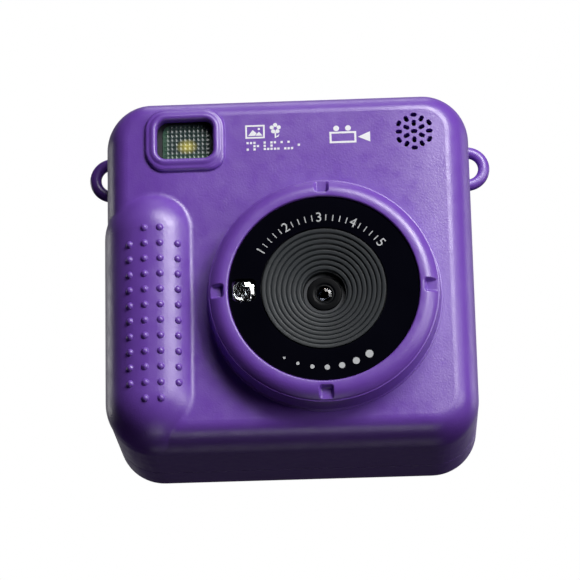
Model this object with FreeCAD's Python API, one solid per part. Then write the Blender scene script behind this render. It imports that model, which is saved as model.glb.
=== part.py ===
import FreeCAD, Part
import math
import os

# A children's digital camera: a square two-shell body with a round lens barrel, a studded grip, a flash,
# a speaker grille, two strap eyes, a rear screen with keys, and the boards and battery inside.
#
# Millimetres. The camera stands on its base: +Z is up, the lens looks along -Y, and the grip is on the -X side.
# The origin is the middle of the base, halfway between the front face and the back.

Vector = FreeCAD.Vector
Y_AXIS = Vector(0, 1, 0)
Z_AXIS = Vector(0, 0, 1)

# ---- driving dimensions: the body ----
WIDTH = 90.0
HEIGHT = 89.2
DEPTH = 44.0
FRONT = -DEPTH / 2
BACK = DEPTH / 2
SPLIT = 6.5                   # the plane where the front shell meets the rear cover
REVEAL = 0.4                  # the open line between the two shells
WALL = 2.2
CORNER = 11.5                 # corner radius of the square outline
FRONT_ROUND = 6.0             # rounding from the face to the sides, measured across the face
FRONT_ROUND_DEPTH = 10.5      # the same, measured along the sides
BACK_ROUND = 4.0
GAP = 0.1                     # the space left between two fixed pieces
CUT = 1.0                     # how far a cutting shape runs past the surface it opens
TONGUE_REACH = 1.6            # the rear cover's rim inside the front shell
TONGUE_THICK = 1.2
RUNNING = 0.05                # radial clearance of a pin in its hole

FRONT_INNER = FRONT + WALL
BACK_INNER = BACK - WALL
TOP_INNER = HEIGHT - WALL

# ---- the lens, measured forward from the face ----
LENS_X = 8.5
LENS_Z = 35.8
RING_HEIGHT = 8.1
RING_BASE = 28.4
RING_WALL = 27.75
RING_LIP = 27.35
RING_CREST = 25.1
RING_BORE = 23.0
RING_LEDGE = 21.4
RING_HOLLOW = 24.6
COLLAR_TOP = 28.7
COLLAR_BASE = 29.9
NOTCH_WIDTH = 3.0
NOTCH_INNER = 24.3
NOTCH_DEPTH = 1.5
CONE_RADIUS = 15.1
CONE_STEPS = 8
CONE_PITCH = 1.19
CONE_DROP = 0.45              # how much deeper each step of the cone is
CONE_GROOVE = 0.44
CONE_GROOVE_DEPTH = 0.9
PANEL_FRONT = 7.6
PANEL_BACK = 6.15
BARREL_RADIUS = 4.2
HOLDER_RADIUS = 5.0
HOLDER_BASE = 13.0
GLASS_RADIUS = 2.1
FRONT_GLASS_FRONT = -24.0
FRONT_GLASS_BACK = -22.45
REAR_GLASS_RADIUS = 2.6
REAR_GLASS_FRONT = -19.15
REAR_GLASS_BACK = -17.7
BARREL_FRONT = 2.6
BARREL_BACK = -4.5
HOLDER_FRONT = 2.3
HOLDER_FOOT = -3.0
LENS_OPENING = 7.0            # the hole in the front shell for the holder
COLLAR_DEPTH = 5.0
PANEL_SEAT = 6.1
RING_POST_RADIUS = 2.0
SENSOR_BOARD_FRONT = FRONT + 8.0
SENSOR_BOARD_WIDTH = 34.0
SENSOR_BOARD_HEIGHT = 16.0
FILTER_SIZE = 7.2
FILTER_FRONT = -16.6
FILTER_THICK = 0.3
SENSOR_WIDTH = 6.5
SENSOR_HEIGHT = 6.0
SENSOR_THICK = 0.8
ASSIST_POCKET = 7.4
ASSIST_SIZE = 5.5
ASSIST_OFFSET = -19.1         # from the lens axis

# ---- the grip ----
GRIP_RADIUS = 12.5
GRIP_X = -33.0
GRIP_PROUD = 4.0
GRIP_LOW = 12.6
GRIP_HIGH = 54.0
GRIP_BLEND = 2.2
STUD_ROWS = 12
STUD_PITCH = 3.88
STUD_TOP = 53.6
STUD_COLUMNS = (-34.8, -31.1)
STUD_OUTER_COLUMNS = (-38.45, -27.0)
STUD_RADIUS = 0.95
STUD_SUNK = 0.35

# ---- the flash ----
FLASH_X = -24.6
FLASH_Z = 76.7
BEZEL_WIDTH = 19.2
BEZEL_HEIGHT = 15.4
BEZEL_PROUD = 1.0
BEZEL_ROUND = 0.85
BEZEL_CORNER = 4.2
FLASH_WIDTH = 14.6
FLASH_HEIGHT = 11.8
FLASH_CORNER = 3.0
FLASH_SUNK = 1.5              # how far the clear window lies behind the face
FLASH_BOARD_FRONT = FRONT + 8.1
FLASH_BOARD_WIDTH = 30.5
FLASH_BOARD_HEIGHT = 11.0
FLASH_LAMP_WIDTH = 4.6
FLASH_LAMP_HEIGHT = 4.0
REFLECTOR_THROAT = 5.2
REFLECTOR_WALL = 0.8

# ---- the speaker ----
SPEAKER_X = 31.5
SPEAKER_Z = 77.5
SPEAKER_RADIUS = 6.5
SLOT_PITCH = 2.15
SLOT_LENGTH = 1.6
SLOT_WIDTH = 1.05
MAGNET_RADIUS = 4.0

# ---- the strap eyes ----
EYE_OUTER = 5.75
EYE_HOLE = 2.85
EYE_REACH = 50.4              # how far the eye stands from the middle plane
EYE_Y = -2.1
EYE_Z = 74.0

# ---- the buttons on the top ----
TOP_BUTTON_Y = -3.0
SHUTTER_X = -25.0
SHUTTER_RADIUS = 6.1
SHUTTER_PROUD = 1.8
SHUTTER_TRAVEL = 1.2
POWER_X = -4.0
POWER_RADIUS = 3.5
POWER_PROUD = 0.9
POWER_TRAVEL = 0.6
LIGHT_X = 3.5
LIGHT_RADIUS = 1.2
BUTTON_GAP = 0.2              # around each button in its hole
BUTTON_BOARD_TOP = 79.5
BUTTON_BOARD_THICK = 1.0
SWITCH_TOP = 84.0
SWITCH_SIDE = 6.0
SWITCH_PLUNGER = 1.7
BUTTON_LIP = 0.9
BUTTON_LIP_THICK = 0.8
BUTTON_STEM = 1.6
BOARD_POSTS_X = (-14.5, 9.5)

# ---- the rear screen and keys ----
SCREEN_Z = 58.0
WINDOW_WIDTH = 64.0
WINDOW_HEIGHT = 47.0
WINDOW_THICK = 1.2
MODULE_WIDTH = 60.3
MODULE_HEIGHT = 42.7
MODULE_THICK = 2.3
MODULE_BACK = BACK_INNER - 0.6
WINDOW_CORNER = 3.0
BRACKET_EDGE = 1.6
OPENING_WIDTH = 52.0
OPENING_HEIGHT = 40.0
PAD_X = -21.0
PAD_Z = 18.5
PAD_OUTER = 11.0
PAD_INNER = 4.8
PAD_SPLIT = 1.9               # the bar of the rear cover left between two arrow keys
OK_RADIUS = 3.7
ROUND_KEYS = {"key_menu": 10.0, "key_play": 25.0}
ROUND_KEY_RADIUS = 4.5
KEY_PROUD = 1.0
KEY_LIP = 0.8
KEY_TRAVEL = 0.6
KEY_ROUND = 0.45
KEY_STEM = 1.2
ARROWS = {"key_right": 180, "key_down": 90, "key_left": 0, "key_up": 270}    # the turn of each from key_left
MICROPHONE_X = 0.0
MICROPHONE_Z = 8.5

# ---- the boards ----
BOARD_FRONT = 12.0
BOARD_BACK = 13.2
BOARD_HALF_WIDTH = 39.0
BOARD_LOW = 5.0
BOARD_HIGH = 84.0
BOARD_CORNER = 5.0
CONNECTOR_DEPTH = 3.6
CONNECTOR_WIDTH = 10.0
SENSOR_PLUG_Z = 20.0
BUTTON_PLUG_X = -6.0
BUTTON_PLUG_Z = 78.3
DISPLAY_PLUG_Z = 28.3
FLEX_WIDTH = 8.0
FLEX_THICK = 0.2
CONNECTOR_HEIGHT = 1.6
BATTERY_X = (-33.5, -3.5)
BATTERY_Z = (14.0, 54.0)
BATTERY_THICK = 6.0
BATTERY_OFF_BOARD = 0.8
BATTERY_ROUND = 1.5
BATTERY_PLUG = (-17.5, 62.0)
WIRE_RADIUS = 0.45
WIRE_OFFSET = 1.1
DOME_HEIGHT = 0.35

# ---- the side port and its cover ----
PORT_LOW = 22.0
PORT_HIGH = 51.0
PORT_FRONT = 7.9
PORT_HINGE_X = 43.9
PORT_HINGE_Y = 15.2
PORT_KNUCKLE = 1.1
PORT_PIN = 0.5
PORT_CLEAR = 0.15
PORT_PLATE = 1.6
USB_Z = 44.4
CARD_Z = 30.0

# ---- the screws ----
CASE_SCREW_X = 37.0
CASE_SCREW_Z = (8.0, 81.2)
CASE_SCREW_RADIUS = 1.0
CASE_SCREW_LENGTH = 20.0
CASE_SCREW_SUNK = 4.5         # how far the head sits below the back
CASE_HEAD_RADIUS = 1.9
CASE_HEAD_HEIGHT = 1.4
CASE_HEAD_WELL = 2.2
CASE_BOSS = 3.2
SMALL_SCREW_RADIUS = 0.75
SMALL_SCREW_LENGTH = 4.5
SMALL_HEAD_RADIUS = 1.5
SMALL_HEAD_HEIGHT = 1.0
SMALL_BOSS = 2.1
RING_SCREW_OFFSET = 16.5      # of the four ring screws from the lens axis, in X and in Z
SENSOR_SCREW_OFFSET = 14.0
FLASH_SCREW_OFFSET = 12.6
BOARD_SCREWS = ((-36.0, 62.0), (36.0, 62.0), (-36.0, 28.0), (36.0, 16.0))


# ---- simple shapes ----
def box(x0, x1, y0, y1, z0, z1):
    return Part.makeBox(x1 - x0, y1 - y0, z1 - z0, Vector(x0, y0, z0))


def centred(x, z, width, height, y0, y1):
    """A block centred on a line along Y."""
    return box(x - width / 2, x + width / 2, y0, y1, z - height / 2, z + height / 2)


def rod(radius, y0, y1, x, z):
    """A cylinder along Y."""
    return Part.makeCylinder(radius, y1 - y0, Vector(x, y0, z), Y_AXIS)


def post(radius, z0, z1, x, y):
    """A cylinder along Z."""
    return Part.makeCylinder(radius, z1 - z0, Vector(x, y, z0), Z_AXIS)


def pipe(outer, inner, y0, y1, x, z):
    return rod(outer, y0, y1, x, z).cut(rod(inner, y0, y1, x, z))


def plate(width, height, radius, y0, y1, x, z):
    """A rounded rectangle seen from the front, from y0 to y1."""
    left, right = x - width / 2, x + width / 2
    low, high = z - height / 2, z + height / 2
    inset = radius * (1 - math.sqrt(0.5))
    corners = (
        (Vector(right - radius, y0, low), Vector(right - inset, y0, low + inset), Vector(right, y0, low + radius)),
        (Vector(right, y0, high - radius), Vector(right - inset, y0, high - inset), Vector(right - radius, y0, high)),
        (Vector(left + radius, y0, high), Vector(left + inset, y0, high - inset), Vector(left, y0, high - radius)),
        (Vector(left, y0, low + radius), Vector(left + inset, y0, low + inset), Vector(left + radius, y0, low)),
    )
    edges = []
    previous = corners[-1][2]
    for start, middle, end in corners:
        edges.append(Part.makeLine(previous, start))
        edges.append(Part.Arc(start, middle, end).toShape())
        previous = end
    return Part.Face(Part.Wire(edges)).extrude(Vector(0, y1 - y0, 0))


def turned(steps, x, z):
    """A solid turned about a line along Y. Each step is (radius, y), or an arc's middle and end as two pairs."""
    points = [[Vector(x + r, y, z) for r, y in (step if isinstance(step[0], tuple) else (step,))] for step in steps]
    edges = []
    previous = points[0][-1]
    for step in points[1:] + points[:1]:
        if len(step) == 2:
            edges.append(Part.Arc(previous, step[0], step[1]).toShape())
        elif previous.distanceToPoint(step[-1]) > 1e-6:
            edges.append(Part.makeLine(previous, step[-1]))
        previous = step[-1]
    return Part.Face(Part.Wire(edges)).revolve(Vector(x, 0, z), Y_AXIS, 360)


def cable(points, radius):
    """A round wire along a smooth line through the points."""
    line = Part.BSplineCurve()
    line.interpolate([Vector(*p) for p in points])
    start = Vector(*points[0])
    profile = Part.Wire(Part.makeCircle(radius, start, line.tangent(0)[0]))
    return Part.Wire(line.toShape()).makePipeShell([profile], True, False)


def rounded(shape, radius, chosen):
    """The shape with the edges for which chosen(edge) is true rounded."""
    return shape.makeFillet(radius, [edge for edge in shape.Edges if chosen(edge)])


def at_y(y):
    """Chooses the edges that lie in the plane at y."""
    return lambda edge: abs(edge.BoundBox.YMin - y) < 1e-4 and abs(edge.BoundBox.YMax - y) < 1e-4


def at_z(z):
    """Chooses the edges that lie in the plane at z."""
    return lambda edge: abs(edge.BoundBox.ZMin - z) < 1e-4 and abs(edge.BoundBox.ZMax - z) < 1e-4


def lens_y(height):
    """The Y of a place that stands this far in front of the face."""
    return FRONT - height


def on_circle(radius, degrees, x, z):
    angle = math.radians(degrees)
    return x + radius * math.cos(angle), z + radius * math.sin(angle)


# ---- the two shells ----
def edge_profile(rim, across, deep, face_y):
    """A section through a rounded edge, from the line x = 0 out to the rim."""
    core = rim - across
    centre, start, end = Vector(core, face_y + deep, 0), Vector(core, face_y, 0), Vector(rim, face_y + deep, 0)
    bend = Part.Edge(Part.Ellipse(start, end, centre), 0, math.pi / 2)
    points = [end, Vector(rim, SPLIT, 0), Vector(0, SPLIT, 0), Vector(0, face_y, 0), start]
    lines = [Part.makeLine(first, second) for first, second in zip(points, points[1:])]
    return Part.Face(Part.Wire([bend] + lines))


def front_blank(inset):
    """The outline of the front shell, or of its hollow when inset by the wall. Its front edge is rounded."""
    face_y, rim = FRONT + inset, CORNER - inset
    half_width, half_height = WIDTH / 2 - CORNER, HEIGHT / 2 - CORNER
    profile = edge_profile(rim, FRONT_ROUND - inset, FRONT_ROUND_DEPTH - inset, face_y)
    pieces = []
    for quarter, (side_x, side_z) in enumerate(((1, -1), (-1, -1), (-1, 1), (1, 1))):
        section = profile.copy()
        section.rotate(Vector(0, 0, 0), Y_AXIS, 90 * quarter)
        place = Vector(side_x * half_width, 0, HEIGHT / 2 + side_z * half_height)
        section.translate(place)
        pieces.append(section.revolve(place, Y_AXIS, 90))
        length = 2 * (half_height if quarter % 2 == 0 else half_width)
        along = (Vector(0, 0, length), Vector(length, 0, 0), Vector(0, 0, -length), Vector(-length, 0, 0))[quarter]
        pieces.append(section.extrude(along))
    core = centred(0, HEIGHT / 2, 2 * half_width, 2 * half_height, face_y, SPLIT)
    return core.fuse(pieces).removeSplitter().Solids[0]


def grip_form(radius):
    y = FRONT - GRIP_PROUD + GRIP_RADIUS
    low, high = Vector(GRIP_X, y, GRIP_LOW), Vector(GRIP_X, y, GRIP_HIGH)
    column = post(radius, GRIP_LOW, GRIP_HIGH, GRIP_X, y)
    return column.fuse([Part.makeSphere(radius, low), Part.makeSphere(radius, high)]).removeSplitter()


def blend_grip(shell):
    """Rounds the line where the grip meets the face and the side."""
    grip_faces = [face for face in shell.Faces if abs(getattr(face.Surface, "Radius", 0) - GRIP_RADIUS) < 1e-3]

    def chosen(edge):
        owners = [face for face in shell.Faces if any(edge.isSame(other) for other in face.Edges)]
        on_grip = [face for face in owners if any(face.isSame(other) for other in grip_faces)]
        return len(owners) == 2 and len(on_grip) == 1

    return rounded(shell, GRIP_BLEND, chosen)


def grip_studs():
    """Rows of small domes on the grip. The two outer columns have no first or last stud."""
    axis_y = FRONT - GRIP_PROUD + GRIP_RADIUS
    studs = []
    for row in range(STUD_ROWS):
        z = STUD_TOP - row * STUD_PITCH
        columns = STUD_COLUMNS if row in (0, STUD_ROWS - 1) else STUD_COLUMNS + STUD_OUTER_COLUMNS
        below = min(0, z - GRIP_LOW)
        for x in columns:
            reach = math.sqrt(GRIP_RADIUS**2 - (x - GRIP_X) ** 2 - below**2) - STUD_SUNK
            studs.append(Part.makeSphere(STUD_RADIUS, Vector(x, axis_y - reach, z)))
    return studs


def strap_eye(side):
    middle = (EYE_OUTER + EYE_HOLE) / 2
    centre = Vector(side * (EYE_REACH - EYE_OUTER), EYE_Y, EYE_Z)
    return Part.makeTorus(middle, (EYE_OUTER - EYE_HOLE) / 2, centre, Y_AXIS)


def slot(x, z, degrees):
    half = (SLOT_LENGTH - SLOT_WIDTH) / 2
    y0, y1 = FRONT - 1, FRONT_INNER + 1
    body = centred(x, z, 2 * half, SLOT_WIDTH, y0, y1)
    ends = [rod(SLOT_WIDTH / 2, y0, y1, x + side * half, z) for side in (-1, 1)]
    shape = body.fuse(ends).removeSplitter()
    shape.rotate(Vector(x, 0, z), Y_AXIS, -degrees)
    return shape


def grille():
    """Nineteen slots on a hexagonal grid, turned in turn along and across the radius."""
    slots = [slot(SPEAKER_X, SPEAKER_Z, 0)]
    for step in range(6):
        corner, edge = 30 + 60 * step, 60 * step
        slots.append(slot(*on_circle(SLOT_PITCH, corner, SPEAKER_X, SPEAKER_Z), corner))
        slots.append(slot(*on_circle(2 * SLOT_PITCH, corner, SPEAKER_X, SPEAKER_Z), corner + 90))
        slots.append(slot(*on_circle(math.sqrt(3) * SLOT_PITCH, edge, SPEAKER_X, SPEAKER_Z), edge))
    return slots


def case_screw_places():
    return [(side * CASE_SCREW_X, z) for side in (-1, 1) for z in CASE_SCREW_Z]


def case_boss(x, z, y0, y1):
    """A screw post with two ribs to the nearest walls."""
    outward = math.copysign(8, x)
    upward = 8 if z > HEIGHT / 2 else -8
    rib = 0.8
    to_side = box(min(x, x + outward), max(x, x + outward), y0, y1, z - rib, z + rib)
    to_end = box(x - rib, x + rib, y0, y1, min(z, z + upward), max(z, z + upward))
    return rod(CASE_BOSS, y0, y1, x, z).fuse([to_side, to_end])


def ring_screw_places():
    offsets = (-RING_SCREW_OFFSET, RING_SCREW_OFFSET)
    return [(LENS_X + dx, LENS_Z + dz) for dx in offsets for dz in offsets]


def sensor_screw_places():
    return [(LENS_X + dx, LENS_Z) for dx in (-SENSOR_SCREW_OFFSET, SENSOR_SCREW_OFFSET)]


def flash_screw_places():
    return [(FLASH_X + dx, FLASH_Z) for dx in (-FLASH_SCREW_OFFSET, FLASH_SCREW_OFFSET)]


def lens_collar():
    """The low cone around the barrel. It stands out where the face rounds away beside it."""
    slope = COLLAR_BASE - COLLAR_TOP
    back = lens_y(-COLLAR_DEPTH)
    return turned([(LENS_OPENING, FRONT), (COLLAR_TOP, FRONT), (COLLAR_BASE, FRONT + slope), (COLLAR_BASE, back),
                   (LENS_OPENING, back)], LENS_X, LENS_Z)


def flash_bezel():
    bezel = plate(BEZEL_WIDTH, BEZEL_HEIGHT, BEZEL_CORNER, FRONT - BEZEL_PROUD, FRONT + 1, FLASH_X, FLASH_Z)
    return rounded(bezel, BEZEL_ROUND, at_y(FRONT - BEZEL_PROUD))


def front_shell():
    blank = front_blank(0)
    shell = blend_grip(blank.fuse(grip_form(GRIP_RADIUS)).removeSplitter().Solids[0])
    shell = shell.fuse(grip_studs() + [lens_collar(), flash_bezel(), strap_eye(-1), strap_eye(1)])
    shell = shell.cut([front_blank(WALL), grip_form(GRIP_RADIUS - WALL)])

    bosses = [case_boss(x, z, -10, SPLIT - GAP) for x, z in case_screw_places()]
    bosses += [rod(SMALL_BOSS, FRONT_INNER - 1, SENSOR_BOARD_FRONT - GAP, x, z) for x, z in sensor_screw_places()]
    bosses += [rod(SMALL_BOSS, FRONT_INNER - 1, FLASH_BOARD_FRONT - GAP, x, z) for x, z in flash_screw_places()]
    bosses += [post(SMALL_BOSS, BUTTON_BOARD_TOP + GAP, TOP_INNER + 1, x, TOP_BUTTON_Y) for x in BOARD_POSTS_X]
    inside = Part.makeCompound(bosses).common(blank.cut(tongue(0.4)))
    shell = shell.fuse(inside.Solids)

    pilot = SMALL_SCREW_RADIUS + RUNNING
    cuts = grille()
    cuts.append(rod(SPEAKER_RADIUS + 0.3, FRONT_INNER, -9, SPEAKER_X, SPEAKER_Z))
    cuts.append(rod(LENS_OPENING, FRONT - CUT, lens_y(-COLLAR_DEPTH - CUT), LENS_X, LENS_Z))
    cuts.append(plate(FLASH_WIDTH, FLASH_HEIGHT, FLASH_CORNER, FRONT - 3, FRONT_INNER + CUT, FLASH_X, FLASH_Z))
    cuts.append(plate(FLASH_WIDTH + 2.4, FLASH_HEIGHT + 2.4, 0.5, FRONT_INNER, -15, FLASH_X, FLASH_Z))
    cuts += [rod(CASE_SCREW_RADIUS + RUNNING, -6, SPLIT, x, z) for x, z in case_screw_places()]
    cuts += [rod(pilot, FRONT - 1, FRONT_INNER + CUT, x, z) for x, z in ring_screw_places()]
    cuts += [rod(pilot, SENSOR_BOARD_FRONT - 5, SENSOR_BOARD_FRONT, x, z) for x, z in sensor_screw_places()]
    cuts += [rod(pilot, FLASH_BOARD_FRONT - 5, FLASH_BOARD_FRONT, x, z) for x, z in flash_screw_places()]
    cuts += [post(pilot, BUTTON_BOARD_TOP, BUTTON_BOARD_TOP + 5, x, TOP_BUTTON_Y) for x in BOARD_POSTS_X]
    for x, radius in ((SHUTTER_X, SHUTTER_RADIUS), (POWER_X, POWER_RADIUS)):
        cuts.append(post(radius + BUTTON_GAP, TOP_INNER - CUT, HEIGHT + CUT, x, TOP_BUTTON_Y))
    cuts.append(post(LIGHT_RADIUS + RUNNING, TOP_INNER - CUT, HEIGHT + CUT, LIGHT_X, TOP_BUTTON_Y))
    return shell.cut(cuts)


def tongue(clear):
    """The thin rim of the rear cover that sits inside the front shell, made larger by clear."""
    inset = WALL + GAP - clear
    thick = TONGUE_THICK + 2 * clear
    start = SPLIT - TONGUE_REACH - clear
    rim = plate(WIDTH - 2 * inset, HEIGHT - 2 * inset, CORNER - inset, start, SPLIT + 3, 0, HEIGHT / 2)
    inner = inset + thick
    hollow = plate(WIDTH - 2 * inner, HEIGHT - 2 * inner, CORNER - inner, SPLIT - 4, SPLIT + 4, 0, HEIGHT / 2)
    return rim.cut(hollow)


def arrow_outline(grow, y0, y1):
    """The right-hand arrow key's sector of the ring, made larger by grow."""
    ring = pipe(PAD_OUTER + grow, PAD_INNER - grow, y0, y1, PAD_X, PAD_Z)
    reach = 2 * PAD_OUTER
    offset = (PAD_SPLIT / 2 - grow) * math.sqrt(2)
    corner = Vector(PAD_X + offset, y0, PAD_Z)
    wedge = Part.Face(Part.makePolygon([corner, corner + Vector(reach, 0, reach), corner + Vector(reach, 0, -reach),
                                        corner])).extrude(Vector(0, y1 - y0, 0))
    return ring.common(wedge).Solids[0]


def arrow(name, grow, y0, y1):
    """Left and right are as the person holding the camera sees them, from behind."""
    shape = arrow_outline(grow, y0, y1)
    shape.rotate(Vector(PAD_X, 0, PAD_Z), Y_AXIS, ARROWS[name])
    return shape


def port_recess():
    """The pocket in the side for the port cover, with room for its knuckle to turn."""
    x0, x1 = WIDTH / 2 - PORT_PLATE - 0.2, WIDTH / 2 + 1
    low, high = PORT_LOW - PORT_CLEAR, PORT_HIGH + PORT_CLEAR
    pocket = box(x0, x1, PORT_FRONT - PORT_CLEAR, PORT_HINGE_Y, low, high)
    turn = post(PORT_KNUCKLE + PORT_CLEAR, low, high, PORT_HINGE_X, PORT_HINGE_Y)
    mouth = box(PORT_HINGE_X, x1, PORT_HINGE_Y - 1, PORT_HINGE_Y + PORT_KNUCKLE + PORT_CLEAR, low, high)
    return [pocket, turn, mouth]


def rear_cover():
    start = SPLIT + REVEAL
    cover = plate(WIDTH, HEIGHT, CORNER, start, BACK, 0, HEIGHT / 2)
    cover = rounded(cover, BACK_ROUND, at_y(BACK))
    hollow = plate(WIDTH - 2 * WALL, HEIGHT - 2 * WALL, CORNER - WALL, start - 1, BACK_INNER, 0, HEIGHT / 2)
    hollow = rounded(hollow, BACK_ROUND - WALL, at_y(BACK_INNER))
    shell = cover.cut(hollow)
    rim = tongue(0)

    additions = [case_boss(x, z, SPLIT, BACK_INNER + 1) for x, z in case_screw_places()]
    additions += [rod(SMALL_BOSS, BOARD_BACK + GAP, BACK_INNER + 1, x, z) for x, z in BOARD_SCREWS]
    additions.append(box(41.2, 43.3, SPLIT + REVEAL, PORT_HINGE_Y + 2.2, PORT_LOW - 1.6, PORT_HIGH + 1.6))
    inside = Part.makeCompound(additions).common(plate(WIDTH - 2, HEIGHT - 2, CORNER - 1, SPLIT + GAP, BACK - 1, 0,
                                                       HEIGHT / 2))
    shell = shell.fuse(inside.Solids + [rim])

    window_seat = BACK - WINDOW_THICK - GAP
    cuts = [plate(WINDOW_WIDTH, WINDOW_HEIGHT, WINDOW_CORNER, window_seat, BACK + CUT, 0, SCREEN_Z)]
    cuts.append(plate(OPENING_WIDTH, OPENING_HEIGHT, 1.0, BACK_INNER - CUT, BACK, 0, SCREEN_Z))
    cuts += [arrow(name, BUTTON_GAP, BACK_INNER - CUT, BACK + CUT) for name in ARROWS]
    cuts.append(rod(OK_RADIUS + BUTTON_GAP, BACK_INNER - CUT, BACK + CUT, PAD_X, PAD_Z))
    cuts += [rod(ROUND_KEY_RADIUS + BUTTON_GAP, BACK_INNER - CUT, BACK + CUT, x, PAD_Z) for x in ROUND_KEYS.values()]
    cuts += [rod(CASE_SCREW_RADIUS + BUTTON_GAP, 0, BACK + CUT, x, z) for x, z in case_screw_places()]
    cuts += [rod(CASE_HEAD_WELL, BACK - CASE_SCREW_SUNK, BACK + CUT, x, z) for x, z in case_screw_places()]
    cuts += [rod(SMALL_SCREW_RADIUS + RUNNING, BOARD_BACK, BOARD_BACK + 5, x, z) for x, z in BOARD_SCREWS]
    cuts.append(rod(0.6, BACK_INNER - CUT, BACK + CUT, MICROPHONE_X, MICROPHONE_Z))
    cuts += port_recess()
    cuts.append(post(PORT_PIN + RUNNING, PORT_LOW - 1.5, PORT_HIGH + 1.5, PORT_HINGE_X, PORT_HINGE_Y))
    usb = plate_x(9.6, 3.8, 1.85, 40, 44, 10.4, USB_Z)
    cuts.append(usb)
    cuts.append(box(40, 44, 10.3, 11.9, CARD_Z - 6, CARD_Z + 6))
    return shell.cut(cuts)


def plate_x(length, thick, radius, x0, x1, y, z):
    """A rounded slot seen from the side, long in Z, from x0 to x1."""
    shape = plate(thick, length, radius, x0, x1, 0, 0)
    shape.rotate(Vector(0, 0, 0), Z_AXIS, -90)
    shape.translate(Vector(0, y, z))
    return shape


# ---- the lens ----
def lens_ring():
    """The barrel ring: a tapered wall, a rounded rim with four notches, and a ledge for the black panel."""
    crown_middle = (27.0, lens_y(7.55))
    ring = turned([
        (RING_BASE, lens_y(0)), (RING_WALL, lens_y(6.2)), (RING_LIP, lens_y(6.45)),
        (crown_middle, (RING_CREST, lens_y(RING_HEIGHT))), (RING_BORE + 0.3, lens_y(RING_HEIGHT)),
        (RING_BORE, lens_y(RING_HEIGHT - 0.25)), (RING_BORE, lens_y(PANEL_SEAT)), (RING_LEDGE, lens_y(PANEL_SEAT)),
        (RING_LEDGE, lens_y(4.9)), (RING_HOLLOW, lens_y(4.9)), (RING_HOLLOW, lens_y(0)),
    ], LENS_X, LENS_Z)
    posts = []
    for x, z in ring_screw_places():
        posts.append(rod(RING_POST_RADIUS, lens_y(5.5), lens_y(0), x, z))
    ring = ring.fuse(posts)
    cuts = [rod(SMALL_SCREW_RADIUS + RUNNING, lens_y(4), lens_y(-1), x, z) for x, z in ring_screw_places()]
    for quarter in range(4):
        notch = box(LENS_X + NOTCH_INNER, LENS_X + RING_BASE + 1, lens_y(RING_HEIGHT + 1),
                    lens_y(RING_HEIGHT - NOTCH_DEPTH), LENS_Z - NOTCH_WIDTH / 2, LENS_Z + NOTCH_WIDTH / 2)
        notch.rotate(Vector(LENS_X, 0, LENS_Z), Y_AXIS, 90 * quarter)
        cuts.append(notch)
    cuts.append(assist_pocket())
    return ring.cut(cuts)


def assist_pocket():
    x = LENS_X + ASSIST_OFFSET
    return centred(x, LENS_Z, ASSIST_POCKET, ASSIST_POCKET, lens_y(PANEL_BACK - 0.05), lens_y(3.5))


def lens_panel():
    panel = turned([(CONE_RADIUS + GAP, lens_y(PANEL_BACK)), (RING_BORE - GAP, lens_y(PANEL_BACK)),
                    (RING_BORE - GAP, lens_y(PANEL_FRONT - 0.2)), (RING_BORE - 0.3, lens_y(PANEL_FRONT)),
                    (CONE_RADIUS + GAP, lens_y(PANEL_FRONT))], LENS_X, LENS_Z)
    size = ASSIST_SIZE + 2 * GAP
    return panel.cut(plate(size, size, 1.2, lens_y(9), lens_y(5), LENS_X + ASSIST_OFFSET, LENS_Z))


def lens_cone():
    """The stepped light baffle: ring-shaped treads with a narrow groove between, each deeper than the last."""
    profile = [(CONE_RADIUS, lens_y(PANEL_BACK - 0.1)), (CONE_RADIUS, lens_y(PANEL_FRONT - 0.1))]
    for step in range(CONE_STEPS):
        radius = CONE_RADIUS - CONE_PITCH * step
        height = PANEL_FRONT - 0.1 - CONE_DROP * step
        tread_end = radius - CONE_PITCH + CONE_GROOVE
        profile += [(radius, lens_y(height)), (tread_end, lens_y(height)),
                    (tread_end, lens_y(height - CONE_GROOVE_DEPTH)),
                    (radius - CONE_PITCH, lens_y(height - CONE_GROOVE_DEPTH))]
    inner = CONE_RADIUS - CONE_PITCH * CONE_STEPS
    height = PANEL_FRONT - 0.1 - CONE_DROP * CONE_STEPS
    profile += [(inner, lens_y(height)), (HOLDER_RADIUS + 0.2, lens_y(height - 0.2)),
                (HOLDER_RADIUS + 0.2, lens_y(1.8)), (CONE_RADIUS, lens_y(4.9)), (CONE_RADIUS + 2, lens_y(4.9)),
                (CONE_RADIUS + 2, lens_y(PANEL_BACK - 0.1))]
    return turned(profile[1:] + profile[:1], LENS_X, LENS_Z).cut(assist_pocket())


def lens_barrel():
    """The small screw-in barrel, with a dished front and a seat at each end for a glass."""
    front, back = lens_y(BARREL_FRONT), lens_y(BARREL_BACK)
    glass_front, front_seat, rear_seat = front + 1.1, FRONT_GLASS_BACK + GAP / 2, REAR_GLASS_FRONT - GAP / 2
    bore, rear_bore = GLASS_RADIUS + GAP / 2, REAR_GLASS_RADIUS + GAP
    return turned([
        (BARREL_RADIUS, back), (BARREL_RADIUS, front), (3.3, front), (GLASS_RADIUS + 0.8, front + 0.35),
        (GLASS_RADIUS + 0.8, front + 0.6), (bore, glass_front), (bore, front_seat), (1.5, front_seat),
        (1.5, rear_seat), (rear_bore, rear_seat), (rear_bore, back),
    ], LENS_X, LENS_Z)


def cap_sphere(radius, sag, apex_y, side):
    """A sphere whose cap of this radius and height ends at apex_y. Side -1 points it to the front, 1 to the back."""
    ball = (radius**2 + sag**2) / (2 * sag)
    return Part.makeSphere(ball, Vector(LENS_X, apex_y - side * ball, LENS_Z))


def lens_front_glass():
    glass = rod(GLASS_RADIUS, FRONT_GLASS_FRONT, FRONT_GLASS_BACK, LENS_X, LENS_Z)
    return glass.common(cap_sphere(GLASS_RADIUS, 0.6, FRONT_GLASS_FRONT, -1))


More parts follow.
